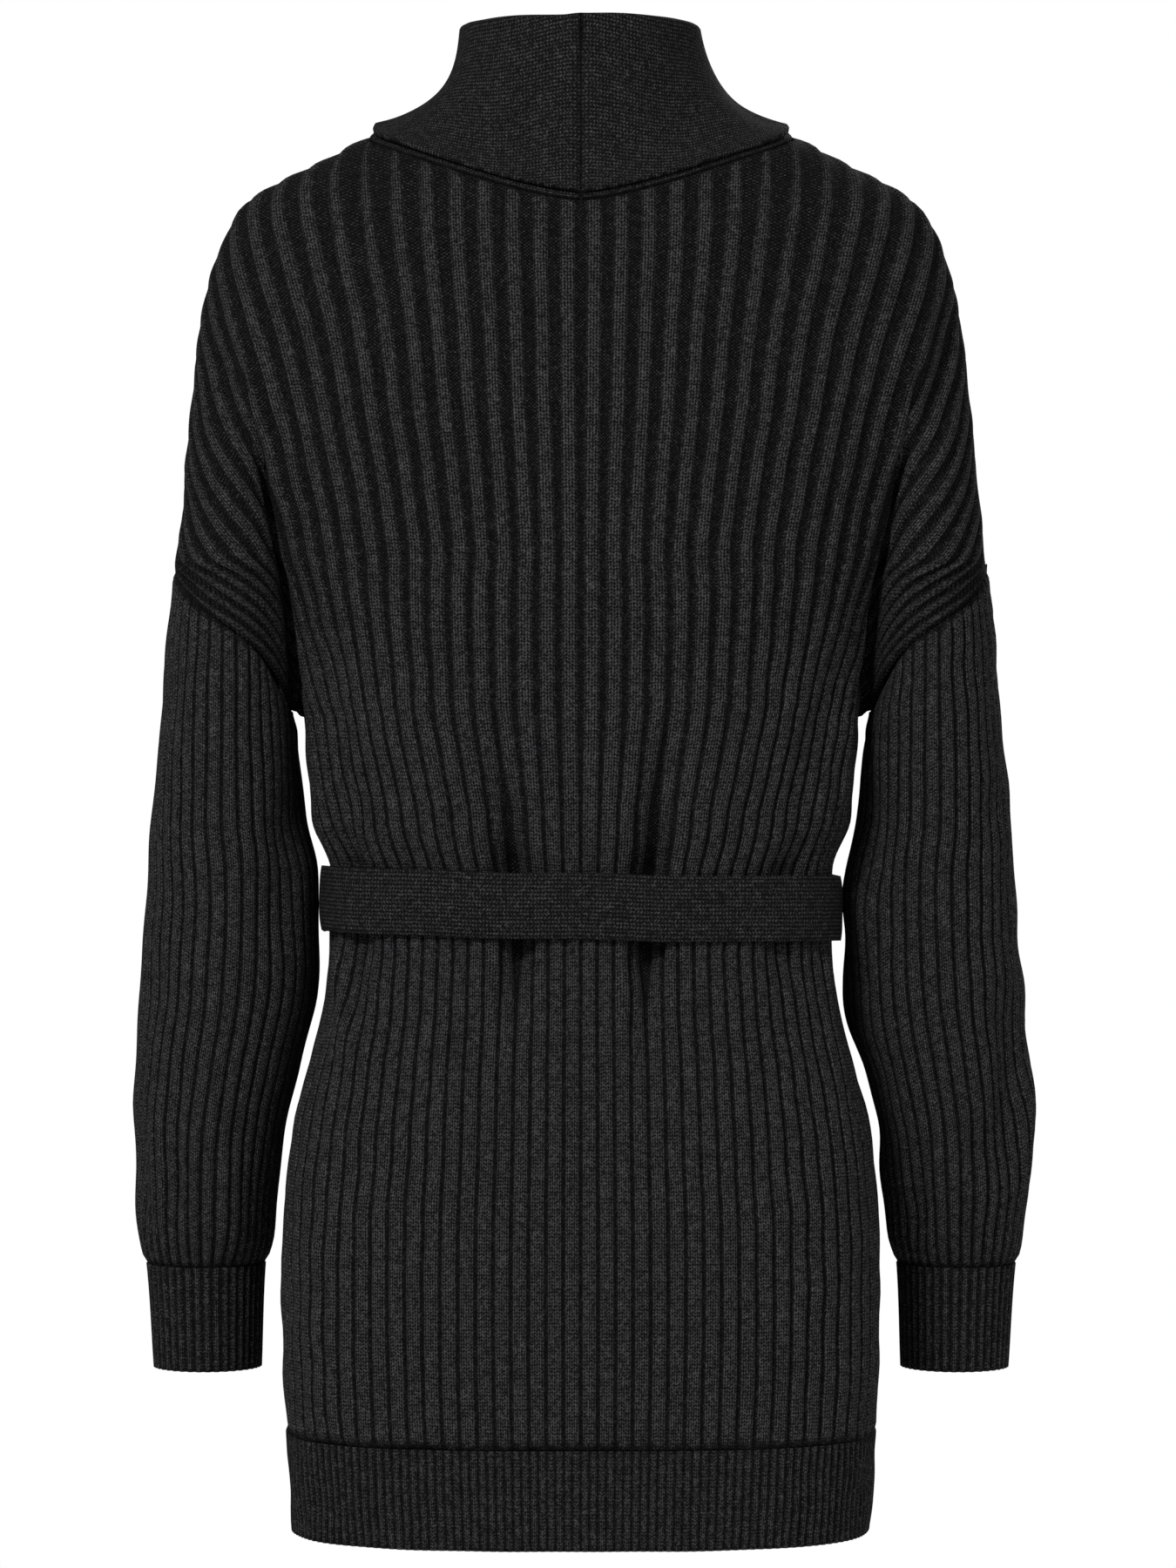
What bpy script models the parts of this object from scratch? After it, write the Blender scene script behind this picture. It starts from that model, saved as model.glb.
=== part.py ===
"""Ribbed wrap cardigan with a folded shawl collar and a tied belt, hollow and in its worn pose.

The garment faces -Y, its left sleeve is at +X, and +Z is up.  Sizes are in metres.
The origin lies between the two ends of the shoulder seams at the base of the neck.

A panel is a grid of cloth.  Its columns follow the knitted ribs and its rows follow the body.
A rib is counted from the centre line out to the armhole and side seam.
"""

import math

import bmesh
import bpy
import numpy as np

for old_object in list(bpy.data.objects):
    bpy.data.objects.remove(old_object)

# Cloth
SEAM_GAP = 0.0003
CLOTH = 0.0024
RIB_RISE = 0.0014
FINE_RISE = 0.0008
FLAT_RIBS = 19
FLAT_REACH = 0.02

# Ribs, counted from the centre line
SIDE_RIBS = 24
NECK_RIBS = 8.5
LAP_RIBS = 2.0
SLEEVE_RIBS = 26
FINE_PER_RIB = 1.5
CUFF_RIBS = 40

# The inside has a column for each second rib by the middle, and more by the side and the arm
INSIDE_SIDE_RIBS = 5
INSIDE_ARM_RIBS = 18

# Heights
NECK_POINT = 0.011
CENTRE_BACK_NECK = -0.035
ARMHOLE_TOP = -0.235
BELT_TOP_ROW = -0.411
LAP_TOP = -0.360
LOWER_ROWS = (-0.447, -0.495, -0.580, -0.729)
HEM_TOP = LOWER_ROWS[-1]
HEM_END = -0.785
CUFF_TOP = -0.637
CUFF_END = -0.6975
SLEEVE_ROWS = (-0.372, -0.435, -0.510, -0.580, -0.613, CUFF_TOP)
SLEEVE_TOP_SPANS = 3
UNDERARM_GAP = 0.0078

# Rows above the belt lie closer together near the shoulder
UPPER_SPANS = 9
UNDERARM_SPAN = 5
ROW_POWER = 1.25
UNDERARM = ARMHOLE_TOP + (BELT_TOP_ROW - ARMHOLE_TOP) * (UNDERARM_SPAN / UPPER_SPANS) ** ROW_POWER

# Height, half width over the shoulders and sleeves
OUTLINE = (
    (0.030, 0.090),
    (0.011, 0.119),
    (-0.005, 0.149),
    (-0.015, 0.169),
    (-0.025, 0.1865),
    (-0.035, 0.197),
    (-0.055, 0.208),
    (-0.090, 0.2175),
    (-0.165, 0.226),
    (-0.265, 0.235),
    (-0.415, 0.248),
    (-0.515, 0.255),
    (-0.565, 0.257),
    (-0.600, 0.256),
    (-0.625, 0.2535),
    (-0.637, 0.2515),
    (-0.6975, 0.2475),
)

# Height, half width, depth behind the middle, depth in front of it
TORSO = (
    (0.030, 0.120, 0.048, 0.044),
    (0.011, 0.140, 0.062, 0.058),
    (-0.035, 0.185, 0.083, 0.080),
    (-0.070, 0.192, 0.094, 0.095),
    (-0.110, 0.189, 0.100, 0.105),
    (-0.150, 0.182, 0.104, 0.112),
    (-0.190, 0.175, 0.105, 0.117),
    (-0.230, 0.169, 0.105, 0.120),
    (-0.280, 0.162, 0.104, 0.120),
    (-0.340, 0.158, 0.102, 0.116),
    (-0.380, 0.155, 0.099, 0.111),
    (-0.411, 0.144, 0.089, 0.100),
    (-0.447, 0.144, 0.090, 0.100),
    (-0.482, 0.1465, 0.099, 0.102),
    (-0.522, 0.157, 0.109, 0.106),
    (-0.565, 0.1668, 0.117, 0.110),
    (-0.605, 0.1705, 0.121, 0.112),
    (-0.655, 0.1715, 0.121, 0.113),
    (-0.729, 0.1688, 0.118, 0.112),
    (-0.785, 0.1650, 0.115, 0.110),
)
SHOULDER_POWER = 2.3
PARTED_FROM = -0.10

# Height, roundness of the torso's section, width of the fold between torso and arm
FOLD_SHAPE = (
    (-0.100, 2.3, 0.050),
    (-0.235, 2.2, 0.050),
    (-0.280, 2.2, 0.044),
    (-0.305, 2.3, 0.030),
    (UNDERARM, 2.5, 0.001),
    (-0.400, 2.9, 0.001),
    (-0.480, 3.0, 0.001),
)

# Height, inner side of the sleeve, half depth, place of its middle in depth
SLEEVE = (
    (-0.100, 0.190, 0.056, 0.000),
    (-0.235, 0.171, 0.060, 0.000),
    (-0.340, 0.1625, 0.062, -0.002),
    (-0.380, 0.1600, 0.060, -0.004),
    (-0.411, 0.1530, 0.058, -0.005),
    (-0.440, 0.1510, 0.057, -0.006),
    (-0.482, 0.1530, 0.056, -0.010),
    (-0.522, 0.1630, 0.055, -0.013),
    (-0.565, 0.1730, 0.054, -0.017),
    (-0.600, 0.1765, 0.051, -0.020),
    (-0.620, 0.1785, 0.045, -0.021),
    (-0.637, 0.1820, 0.038, -0.022),
    (-0.6975, 0.1845, 0.036, -0.025),
)

# Height, how far the armhole seam has moved round from the outline to the fold behind the arm
ARMHOLE = (
    (-0.235, 0.00),
    (-0.245, 0.22),
    (-0.260, 0.42),
    (-0.280, 0.62),
    (-0.302, 0.82),
    (UNDERARM, 1.00),
)

# Height, how much the ribs are spread towards the sides
SPREAD = (
    (-0.785, 0.03),
    (-0.560, 0.04),
    (-0.430, 0.09),
    (-0.330, 0.09),
    (-0.165, 0.00),
    (-0.030, -0.045),
)

# Creases at the belt: face, rib towards the left, top, foot, depth, ribs to each side
BELT = -0.429
CREASES = (
    (1, 4, -0.330, -0.530, 0.011, 1.8),
    (1, -4, -0.320, -0.540, 0.012, 1.8),
    (1, 14, -0.360, -0.520, 0.008, 2.4),
    (1, -12, -0.350, -0.500, 0.006, 2.2),
    (-1, 16, -0.340, -0.520, 0.007, 2.4),
    (-1, -16, -0.330, -0.530, 0.007, 2.4),
)

# The right front laps over the left
LAP_RISE = 0.0068
LAP_RIB_START = 15
LAP_RIB_FULL = 10
LAP_START = -0.060
LAP_FULL = -0.140

# Collar
COLLAR_CLOTH = 0.0024
FOLD_RADIUS = 0.0023
BAND_WIDTH = 0.050
# Ribs from the shoulder end (less than 0 at the back), fold's x, y and z, width that falls, fold 1 or flat 0
COLLAR = (
    (-8.5, 0.0000, 0.0600, 0.0690, 0.093, 1.0),
    (-6.0, 0.0260, 0.0550, 0.0692, 0.091, 1.0),
    (-3.0, 0.0500, 0.0350, 0.0695, 0.086, 1.0),
    (0.0, 0.0635, 0.0000, 0.0690, 0.088, 1.0),
    (1.0, 0.0635, -0.0300, 0.0440, 0.086, 1.0),
    (2.0, 0.0600, -0.0580, 0.0060, 0.080, 1.0),
    (3.0, 0.0500, -0.0830, -0.0400, 0.064, 1.0),
    (4.0, 0.0350, -0.1000, -0.0850, 0.040, 1.0),
    (5.0, 0.0170, -0.1100, -0.1300, 0.016, 0.35),
    (6.0, -0.0040, -0.1150, -0.1720, 0.012, 0.0),
    (8.0, -0.0365, -0.1180, -0.2550, 0.012, 0.0),
    (10.5, -0.0620, -0.1180, -0.3600, 0.010, 0.0),
)
COLLAR_CLOSE_STEPS = 11
REVEAL = 0.0095
CORNER_GAP = 0.0011
SHOULDER_REVEAL = 0.003

# Belt
BELT_WIDTH = 0.037
BELT_CLOTH = 0.0034
BELT_SLOPE = 0.020
BELT_STEPS = 44
BELT_EASE = 0.0022
KNOT_SIZE = (0.046, 0.022, 0.050)
TAIL_LENGTH = 0.300
TAIL_WIDTH = 0.036
TAIL_CENTRE = 0.020
TAIL_TUCK = 0.0022

SECTION_POINTS = 161
LEVEL_COUNT = 240


def eased(x):
    """0 below 0, 1 above 1 and a smooth step between."""
    x = np.clip(x, 0.0, 1.0)
    return x * x * (3 - 2 * x)


def unit(vectors):
    return vectors / np.maximum(np.linalg.norm(vectors, axis=-1, keepdims=True), 1e-12)


def read(table, column, at):
    """A column of a table at any place of its first column, as a smooth curve with no overshoot."""
    rows = np.array(sorted(table))
    x, y = rows[:, 0], rows[:, column]
    step = np.diff(x)
    slope = np.diff(y) / step
    tangent = np.zeros(len(x))
    same_way = slope[:-1] * slope[1:] > 0
    before = 2 * step[1:] + step[:-1]
    after = step[1:] + 2 * step[:-1]
    with np.errstate(divide="ignore", invalid="ignore"):
        mean = (before + after) / (before / slope[:-1] + after / slope[1:])
    tangent[1:-1] = np.where(same_way, mean, 0.0)
    tangent[0], tangent[-1] = slope[0], slope[-1]
    at = np.clip(np.asarray(at, float), x[0], x[-1])
    i = np.clip(np.searchsorted(x, at) - 1, 0, len(x) - 2)
    t = (at - x[i]) / step[i]
    bend = (tangent[i] + tangent[i + 1] - 2 * slope[i]) * t
    return y[i] + step[i] * t * (tangent[i] + t * (3 * slope[i] - 2 * tangent[i] - tangent[i + 1] + bend))


def outline(z):
    return read(OUTLINE, 1, z) - RIB_RISE


def torso_half(z):
    return read(TORSO, 1, z) - RIB_RISE


def torso_depth(z, face):
    return read(TORSO, 2 if face > 0 else 3, z) - RIB_RISE


def arm(z):
    """Middle, half width, half depth and place in depth of the sleeve at a height."""
    outer = outline(z)
    inner = read(SLEEVE, 1, z) + RIB_RISE
    return (outer + inner) / 2, (outer - inner) / 2, read(SLEEVE, 2, z) - RIB_RISE, read(SLEEVE, 3, z)


def oval(x, half, depth, power):
    return depth * (1 - np.clip(x / half, 0, 1) ** power) ** (1 / power)


def torso_power(z):
    return read(FOLD_SHAPE, 1, z)


def soft_maximum(a, b, width):
    """The larger of two curves, rounded where they cross, and 0 where both are."""
    share = np.clip(0.5 + 0.5 * (a - b) / width, 0, 1)
    rounding = width * share * (1 - share) * eased(np.maximum(a, b) / (0.5 * width))
    return a * share + b * (1 - share) + rounding


def half_section(z, face):
    """Half of the level section from the centre line to the armhole or side seam, evenly spaced."""
    half, depth = torso_half(z), torso_depth(z, face)
    if z > UNDERARM:
        width = outline(z)
        middle, arm_half, arm_depth, _ = arm(z)
        x = width * np.sin(np.linspace(0, math.pi / 2, 400))
        near_side = np.linspace(half - 0.02, min(half + 0.02, width), 200)
        x = np.unique(np.concatenate([x, near_side]))
        joined = oval(x, width, depth, SHOULDER_POWER)
        torso = oval(x, half, depth, torso_power(z))
        upper_arm = oval(np.abs(x - middle), arm_half, arm_depth, 2)
        share = eased((PARTED_FROM - z) / (PARTED_FROM - UNDERARM))
        y = joined * (1 - share) + soft_maximum(torso, upper_arm, read(FOLD_SHAPE, 2, z)) * share
    else:
        angle = np.linspace(0, math.pi / 2, 600)
        power = torso_power(z)
        x = half * np.sin(angle) ** (2 / power)
        y = depth * np.cos(angle) ** (2 / power)
    along = np.concatenate([[0], np.cumsum(np.hypot(np.diff(x), np.diff(y)))])
    end = along[-1]
    if UNDERARM < z < ARMHOLE_TOP:
        fold = np.argmin(np.where(np.abs(x - half) < 0.012, y, 1.0))
        end -= read(ARMHOLE, 1, z) * (along[-1] - along[fold])
    even = np.linspace(0, end, SECTION_POINTS)
    return np.interp(even, along, x), np.interp(even, along, y)


LEVELS = np.linspace(OUTLINE[0][0], HEM_END, LEVEL_COUNT)
SECTIONS = {face: np.array([half_section(z, face) for z in LEVELS]) for face in (1, -1)}
NECK_U = NECK_RIBS / SIDE_RIBS
LAP_U = -LAP_RIBS / SIDE_RIBS


def shoulder_run():
    """Heights down the top of the shoulder and the share of the way from neck to armhole."""
    z = np.linspace(NECK_POINT, ARMHOLE_TOP, 200)
    run = np.concatenate([[0], np.cumsum(np.hypot(np.diff(outline(z)), np.diff(z)))])
    return z, run / run[-1]


SHOULDER_Z, SHOULDER_SHARE = shoulder_run()


def level_place(z):
    """Row of the section table for a height, and how far it lies towards the next row."""
    place = (LEVELS[0] - z) / (LEVELS[0] - LEVELS[-1]) * (LEVEL_COUNT - 1)
    place = np.clip(place, 0, LEVEL_COUNT - 1.001)
    row = place.astype(int)
    return row, place - row


def section_point(q, z, face):
    """x and depth at share q of the half section at height z."""
    row, down = level_place(z)
    place = np.clip(q, 0, 1) * (SECTION_POINTS - 1.001)
    i = place.astype(int)
    f = place - i
    table = SECTIONS[face]
    found = []
    for k in (0, 1):
        here = table[row, k, i] * (1 - f) + table[row, k, i + 1] * f
        below = table[row + 1, k, i] * (1 - f) + table[row + 1, k, i + 1] * f
        found.append(here * (1 - down) + below * down)
    return found


def depth_at(x, z, face):
    """Depth of the cloth's base at a place seen from the front or the back."""
    x, z = np.broadcast_arrays(np.abs(np.asarray(x, float)), np.asarray(z, float))
    row, down = level_place(z)
    found = np.zeros(x.shape)
    for index in np.ndindex(x.shape):
        pair = []
        for level in (row[index], row[index] + 1):
            line = SECTIONS[face][level]
            pair.append(np.interp(x[index], line[0], line[1]))
        found[index] = pair[0] * (1 - down[index]) + pair[1] * down[index]
    return found


def crease_depth(rib, z, face):
    """How far the creases at the belt draw the cloth in, for a rib counted towards the left sleeve."""
    depth = np.zeros(np.broadcast(rib, z).shape)
    for on_face, centre, top, foot, deep, wide in CREASES:
        if on_face == face:
            across = np.clip(np.abs(rib - centre) / wide, 0, 1)
            rise = np.where(z > BELT, (top - z) / (top - BELT), (z - foot) / (BELT - foot))
            depth = depth + deep * (0.5 + 0.5 * np.cos(math.pi * across)) * eased(rise)
    return depth


def surface(rib, z, face):
    """Base points of the cloth for a rib counted towards the left sleeve, on the back (1) or front (-1)."""
    rib, z = np.broadcast_arrays(np.asarray(rib, float), np.asarray(z, float))
    u = np.abs(rib) / SIDE_RIBS
    shoulder_u = NECK_U + (1 - NECK_U) * np.interp(-z, -SHOULDER_Z, SHOULDER_SHARE)
    q = np.clip(u / shoulder_u, 0, 1)
    q = q + read(SPREAD, 1, z) * np.sin(math.pi * q)
    x, y = section_point(q, z, face)
    ahead, behind = section_point(q + 0.01, z, face), section_point(q - 0.01, z, face)
    tangent = unit(np.stack([ahead[0] - behind[0], ahead[1] - behind[1]], -1))
    sink = crease_depth(rib, z, face)
    x = x + sink * tangent[..., 1]
    y = y - sink * tangent[..., 0]
    return np.stack([x * np.where(rib < 0, -1, 1), y * face, z], -1)


def surface_normals(rib, z, face):
    """Unit normals of the surface, from its slope along a level section and down."""
    rib, z = np.broadcast_arrays(rib, z)
    small = 0.05
    across = surface(rib + small, z, face) - surface(rib - small, z, face)
    down = surface(rib, z - 0.002, face) - surface(rib, z, face)
    return unit(np.cross(across, down)) * face


def top_height(rib, face):
    """Height at which a rib starts: at the neckline, the front edge or the shoulder seam."""
    u = np.asarray(rib, float) / SIDE_RIBS
    u = np.abs(u) if face > 0 else u
    seam = np.interp((u - NECK_U) / (1 - NECK_U), SHOULDER_SHARE, SHOULDER_Z)
    if face > 0:
        neck = CENTRE_BACK_NECK + (NECK_POINT - CENTRE_BACK_NECK) * np.clip(u / NECK_U, 0, 1) ** 1.5
    else:
        share = np.clip((NECK_U - u) / (NECK_U - LAP_U), 0, 1)
        neck = NECK_POINT + (LAP_TOP - NECK_POINT) * share
    return np.where(u >= NECK_U, seam, neck)


def body_heights(rib, face):
    """Heights of the rows down each rib, from its top to the top of the hem."""
    top = top_height(rib, face)
    steps = (np.linspace(0, 1, UPPER_SPANS + 1) ** ROW_POWER)[:, None]
    upper = top + (BELT_TOP_ROW - top) * steps
    lower = np.repeat(np.array(LOWER_ROWS)[:, None], len(rib), axis=1)
    return np.vstack([upper, lower])


def hem_heights(rib):
    rows = np.array([HEM_TOP - SEAM_GAP, HEM_END])
    return np.repeat(rows[:, None], len(rib), axis=1)


def lap(out_ribs, z, side):
    """How far the right front stands out where it laps over the left."""
    if side > 0:
        return np.zeros(np.broadcast(out_ribs, z).shape)
    across = eased((LAP_RIB_START - out_ribs) / (LAP_RIB_START - LAP_RIB_FULL))
    return LAP_RISE * across * eased((LAP_START - z) / (LAP_START - LAP_FULL))


def grid_normals(points, outward, closed=False):
    """Unit normals of a grid of points, on the side that outward points to."""
    if closed:
        across = np.roll(points, -1, axis=1) - np.roll(points, 1, axis=1)
    else:
        across = np.gradient(points, axis=1)
    normal = unit(np.cross(across, np.gradient(points, axis=0)))
    return normal * np.where((normal * outward).sum(-1, keepdims=True) < 0, -1, 1)


def level_rim(normal, row):
    """Turn the normals of a row level, so that its edge is cut level."""
    normal[row, :, 2] = 0
    normal[row] = unit(normal[row])


def ribs_relief(columns):
    """Relief of columns half a rib apart: 0 in the furrows and 1 on the crests."""
    return np.arange(columns) % 2


def material(name, shade, roughness):
    made = bpy.data.materials.new(name)
    made.use_nodes = True
    shader = made.node_tree.nodes["Principled BSDF"]
    shader.inputs["Base Color"].default_value = (shade, shade, shade * 1.02, 1)
    shader.inputs["Roughness"].default_value = roughness
    shader.inputs["Metallic"].default_value = 0.0
    return made


RIB_KNIT = material("black_rib_knit", 0.020, 0.92)
FLAT_KNIT = material("black_flat_knit", 0.024, 0.90)


def join_rows(bm, near, far, near_at=None, far_at=None):
    """Faces between two rows of vertices, each vertex paired with the one at its place in the other row."""
    near_at = range(len(near)) if near_at is None else near_at
    far_at = range(len(far)) if far_at is None else far_at
    last_near, last_far = len(near) - 1, len(far) - 1
    i = j = 0
    while i < last_near or j < last_far:
        step_near = i < last_near and (j == last_far or near_at[i + 1] <= far_at[j + 1])
        step_far = j < last_far and (i == last_near or far_at[j + 1] <= near_at[i + 1])
        if step_near and step_far:
            bm.faces.new((near[i], near[i + 1], far[j + 1], far[j]))
            i += 1
            j += 1
        elif step_near:
            bm.faces.new((near[i], near[i + 1], far[j]))
            i += 1
        else:
            bm.faces.new((near[i], far[j + 1], far[j]))
            j += 1


def link(name, bm, cloth):
    bmesh.ops.recalc_face_normals(bm, faces=bm.faces)
    if bm.calc_volume(signed=True) < 0:
        bmesh.ops.reverse_faces(bm, faces=bm.faces)
    mesh = bpy.data.meshes.new(name)
    bm.to_mesh(mesh)
    bm.free()
    mesh.shade_smooth()
    mesh.set_sharp_from_angle(angle=math.radians(50))
    mesh.materials.append(cloth)
    made = bpy.data.objects.new(name, mesh)
    bpy.context.scene.collection.objects.link(made)


def wall(name, outer, inner, cloth, closed=False, inner_at=None):
    """A wall of cloth between an outer and an inner grid with as many rows each."""
    bm = bmesh.new()
    places = [list(range(outer.shape[1])), list(inner_at if inner_at is not None else range(inner.shape[1]))]
    sides = []
    for grid, place in zip((outer, inner), places):
        rows = [[bm.verts.new(point) for point in row] for row in grid]
        if closed:
            rows = [row + row[:1] for row in rows]
            place.append(outer.shape[1])
        for upper, lower in zip(rows[:-1], rows[1:]):
            join_rows(bm, upper, lower)
        sides.append(rows)
    for end in (0, -1):
        join_rows(bm, sides[0][end], sides[1][end], places[0], places[1])
    if not closed:
        for edge in (0, -1):
            join_rows(bm, [row[edge] for row in sides[0]], [row[edge] for row in sides[1]])
    link(name, bm, cloth)


def body_grid(face, side, first, last, per_rib, heights):
    """Base points and normals of a panel from one rib to another, counted out from the centre line."""
    out_ribs = np.linspace(first, last, int(round((last - first) * per_rib)) + 1)
    z = heights(out_ribs)
    points = surface(out_ribs * side, z, face)
    points[..., 1] += face * lap(out_ribs, z, side if face < 0 else 1)
    points[..., 1] += face * SEAM_GAP / 2
    normal = surface_normals(out_ribs * side, z, face)
    on_shoulder = (np.abs(out_ribs) >= NECK_RIBS) & (z[0] > HEM_TOP)
    normal[0, on_shoulder, 1] = 0
    for edge in (0, -1):
        if abs(out_ribs[edge]) == SIDE_RIBS:
            normal[z[:, edge] < UNDERARM + 0.001, edge, 1:] = 0
    normal = unit(normal)
    level_rim(normal, -1)
    if z[0].max() < BELT:
        level_rim(normal, 0)
    return out_ribs, points, normal


def inside_columns(out_ribs):
    """Columns kept on the plain inside, closer together where the section bends more."""
    kept = []
    for index, rib in enumerate(out_ribs):
        step = 2
        if abs(rib) > INSIDE_SIDE_RIBS:
            step = 1
        if abs(rib) > INSIDE_ARM_RIBS:
            step = 0.5
        if index in (0, len(out_ribs) - 1) or abs(rib / step - round(rib / step)) < 0.01:
            kept.append(index)
    return kept


def relief(out_ribs, z, rise):
    """Rise of the ribs, which lie flat in the fold behind the arm."""
    by_arm = eased((np.abs(out_ribs) - FLAT_RIBS) / 2)
    in_fold = eased((ARMHOLE_TOP + FLAT_REACH - z) / FLAT_REACH) * eased((z - UNDERARM + FLAT_REACH) / FLAT_REACH)
    return (rise * ribs_relief(len(out_ribs)) * (1 - by_arm * in_fold))[..., None]


def body_panel(name, face, side, first, last):
    out_ribs, points, normal = body_grid(face, side, first, last, 2, lambda ribs: body_heights(ribs, face))
    outer = points + normal * relief(out_ribs, points[..., 2], RIB_RISE)
    kept = inside_columns(out_ribs)
    wall(name, outer, (points - normal * CLOTH)[:, kept], RIB_KNIT, inner_at=kept)
    return points, normal


def hem(name, face, side, first, last):
    out_ribs, points, normal = body_grid(face, side, first, last, 2 * FINE_PER_RIB, hem_heights)
    outer = points + normal * relief(out_ribs, points[..., 2], FINE_RISE)
    kept = inside_columns(out_ribs)
    wall(name, outer, (points - normal * CLOTH)[:, kept], RIB_KNIT, inner_at=kept)
    return points, normal


def armhole_loop(back, front, side):
    """Nodes and normals round the armhole from its top, down the back edge and up the front edge."""
    edge = -1 if side > 0 else 0
    rows = range(1, UNDERARM_SPAN)
    back_edge, back_normal = back[0][:, edge], back[1][:, edge]
    front_edge, front_normal = front[0][:, -1], front[1][:, -1]
    nodes, normals = [], []

    def add(point, normal):
        nodes.append(point)
        normals.append(normal)

    add((back_edge[0] + front_edge[0]) / 2, (back_normal[0] + front_normal[0]) / 2)
    for row in rows:
        add(back_edge[row], back_normal[row])
    low = UNDERARM_SPAN
    add((back_edge[low] + front_edge[low]) / 2, -(back_normal[low] + front_normal[low]) / 2)
    for row in reversed(rows):
        add(front_edge[row], front_normal[row])
    return np.array(nodes), np.array(normals)


def ring(z, side, count):
    """Points round the sleeve at a height, evenly spaced from its outer side by way of the back."""
    middle, half, depth, place = arm(z)
    angle = np.linspace(0, 2 * math.pi, 721)
    x, y = half * np.cos(angle), depth * np.sin(angle)
    along = np.concatenate([[0], np.cumsum(np.hypot(np.diff(x), np.diff(y)))])
    even = np.interp(np.arange(count) / count * along[-1], along, angle)
    return even, np.stack([(middle + half * np.cos(even)) * side, place + depth * np.sin(even),
                           np.full(count, float(z))], -1)


def on_arm(angle, z, side):
    middle, half, depth, place = arm(z)
    return np.stack([(middle + half * np.cos(angle)) * side, place + depth * np.sin(angle), z], -1)


def sleeve(name, side, back, front):
    """A tube of cloth from the armhole to the cuff."""
    nodes, node_normals = armhole_loop(back, front, side)
    count = 2 * SLEEVE_RIBS
    tangent = np.roll(nodes, -1, axis=0) - np.roll(nodes, 1, axis=0)
    away = -unit(np.cross(node_normals, tangent)) * side
    nodes = nodes + away * 2.5 * SEAM_GAP
    for step, share in ((-1, 0.8), (0, 1.0), (1, 0.8)):
        nodes[UNDERARM_SPAN + step, 0] += side * UNDERARM_GAP * share
    place = np.arange(count) * len(nodes) / count
    i = place.astype(int)
    f = (place - i)[:, None]
    after = (i + 1) % len(nodes)
    loop = nodes[i] * (1 - f) + nodes[after] * f
    loop_normal = node_normals[i] * (1 - f) + node_normals[after] * f

    middle, half, depth, centre = arm(loop[:, 2])
    loop_angle = np.arctan2((loop[:, 1] - centre) / depth, (loop[:, 0] * side - middle) / half)
    loop_angle = np.unwrap(loop_angle)
    ring_angle, _ = ring(SLEEVE_ROWS[0], side, count)
    loop_angle += 2 * math.pi * round((ring_angle - loop_angle).mean() / (2 * math.pi))
    offset = loop - on_arm(loop_angle, loop[:, 2], side)
    rows = []
    for step in range(SLEEVE_TOP_SPANS):
        t = step / SLEEVE_TOP_SPANS
        z = loop[:, 2] * (1 - t) + SLEEVE_ROWS[0] * t
        angle = loop_angle * (1 - t) + ring_angle * t
        rows.append(on_arm(angle, z, side) + offset * (1 - t) ** 2)
    for z in SLEEVE_ROWS:
        rows.append(ring(z, side, count)[1])
    points = np.array(rows)
    middle, _, _, centre = arm(points[..., 2])
    axis = np.stack([middle * side, centre, points[..., 2]], -1)
    normal = grid_normals(points, points - axis, closed=True)
    normal[0] = loop_normal
    level_rim(normal, -1)
    outer = points + normal * (RIB_RISE * ribs_relief(count))[None, :, None]
    inner = (points - normal * CLOTH)[:, ::2]
    wall(name, outer, inner, RIB_KNIT, closed=True, inner_at=range(0, count, 2))


def cuff(name, side):
    """A ring of fine rib at the wrist."""
    count = 2 * CUFF_RIBS
    points = np.array([ring(z, side, count)[1] for z in (CUFF_TOP, CUFF_END)])
    points[0, :, 2] -= SEAM_GAP
    middle, _, _, centre = arm(points[..., 2])
    axis = np.stack([middle * side, centre, points[..., 2]], -1)
    normal = grid_normals(points, points - axis, closed=True)
    level_rim(normal, 0)
    level_rim(normal, -1)
    outer = points + normal * (FINE_RISE * ribs_relief(count))[None, :, None]
    inner = (points - normal * CLOTH)[:, ::3]
    wall(name, outer, inner, RIB_KNIT, closed=True, inner_at=range(0, count, 3))


def collar_seam(side, back, front, front_hem):
    """Places, nodes and normals of the seam between collar and body, from centre back to the hem."""
    half = int(NECK_RIBS * 2)
    centre = SIDE_RIBS * 2
    ribs = []
    nodes = []
    normals = []
    for step in range(half):
        ribs.append(step / 2 - NECK_RIBS)
        nodes.append(back[0][0, centre + step * side])
        normals.append(back[1][0, centre + step * side])
    across = int((NECK_RIBS + LAP_RIBS) * 2)
    for step in range(across + 1):
        if COLLAR_CLOSE_STEPS < step < across and step % 2:
            continue
        ribs.append(step / 2)
        nodes.append(front[0][0, across - step])
        normals.append(front[1][0, across - step])
    down = [3, 6] + list(range(UPPER_SPANS, UPPER_SPANS + 1 + len(LOWER_ROWS)))
    for row in down:
        ribs.append(NECK_RIBS + LAP_RIBS)
        nodes.append(front[0][row, 0])
        normals.append(front[1][row, 0])
    ribs.append(NECK_RIBS + LAP_RIBS)
    nodes.append(front_hem[0][-1, 0])
    normals.append(front_hem[1][-1, 0])
    return np.array(ribs), np.array(nodes), np.array(normals)


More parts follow.
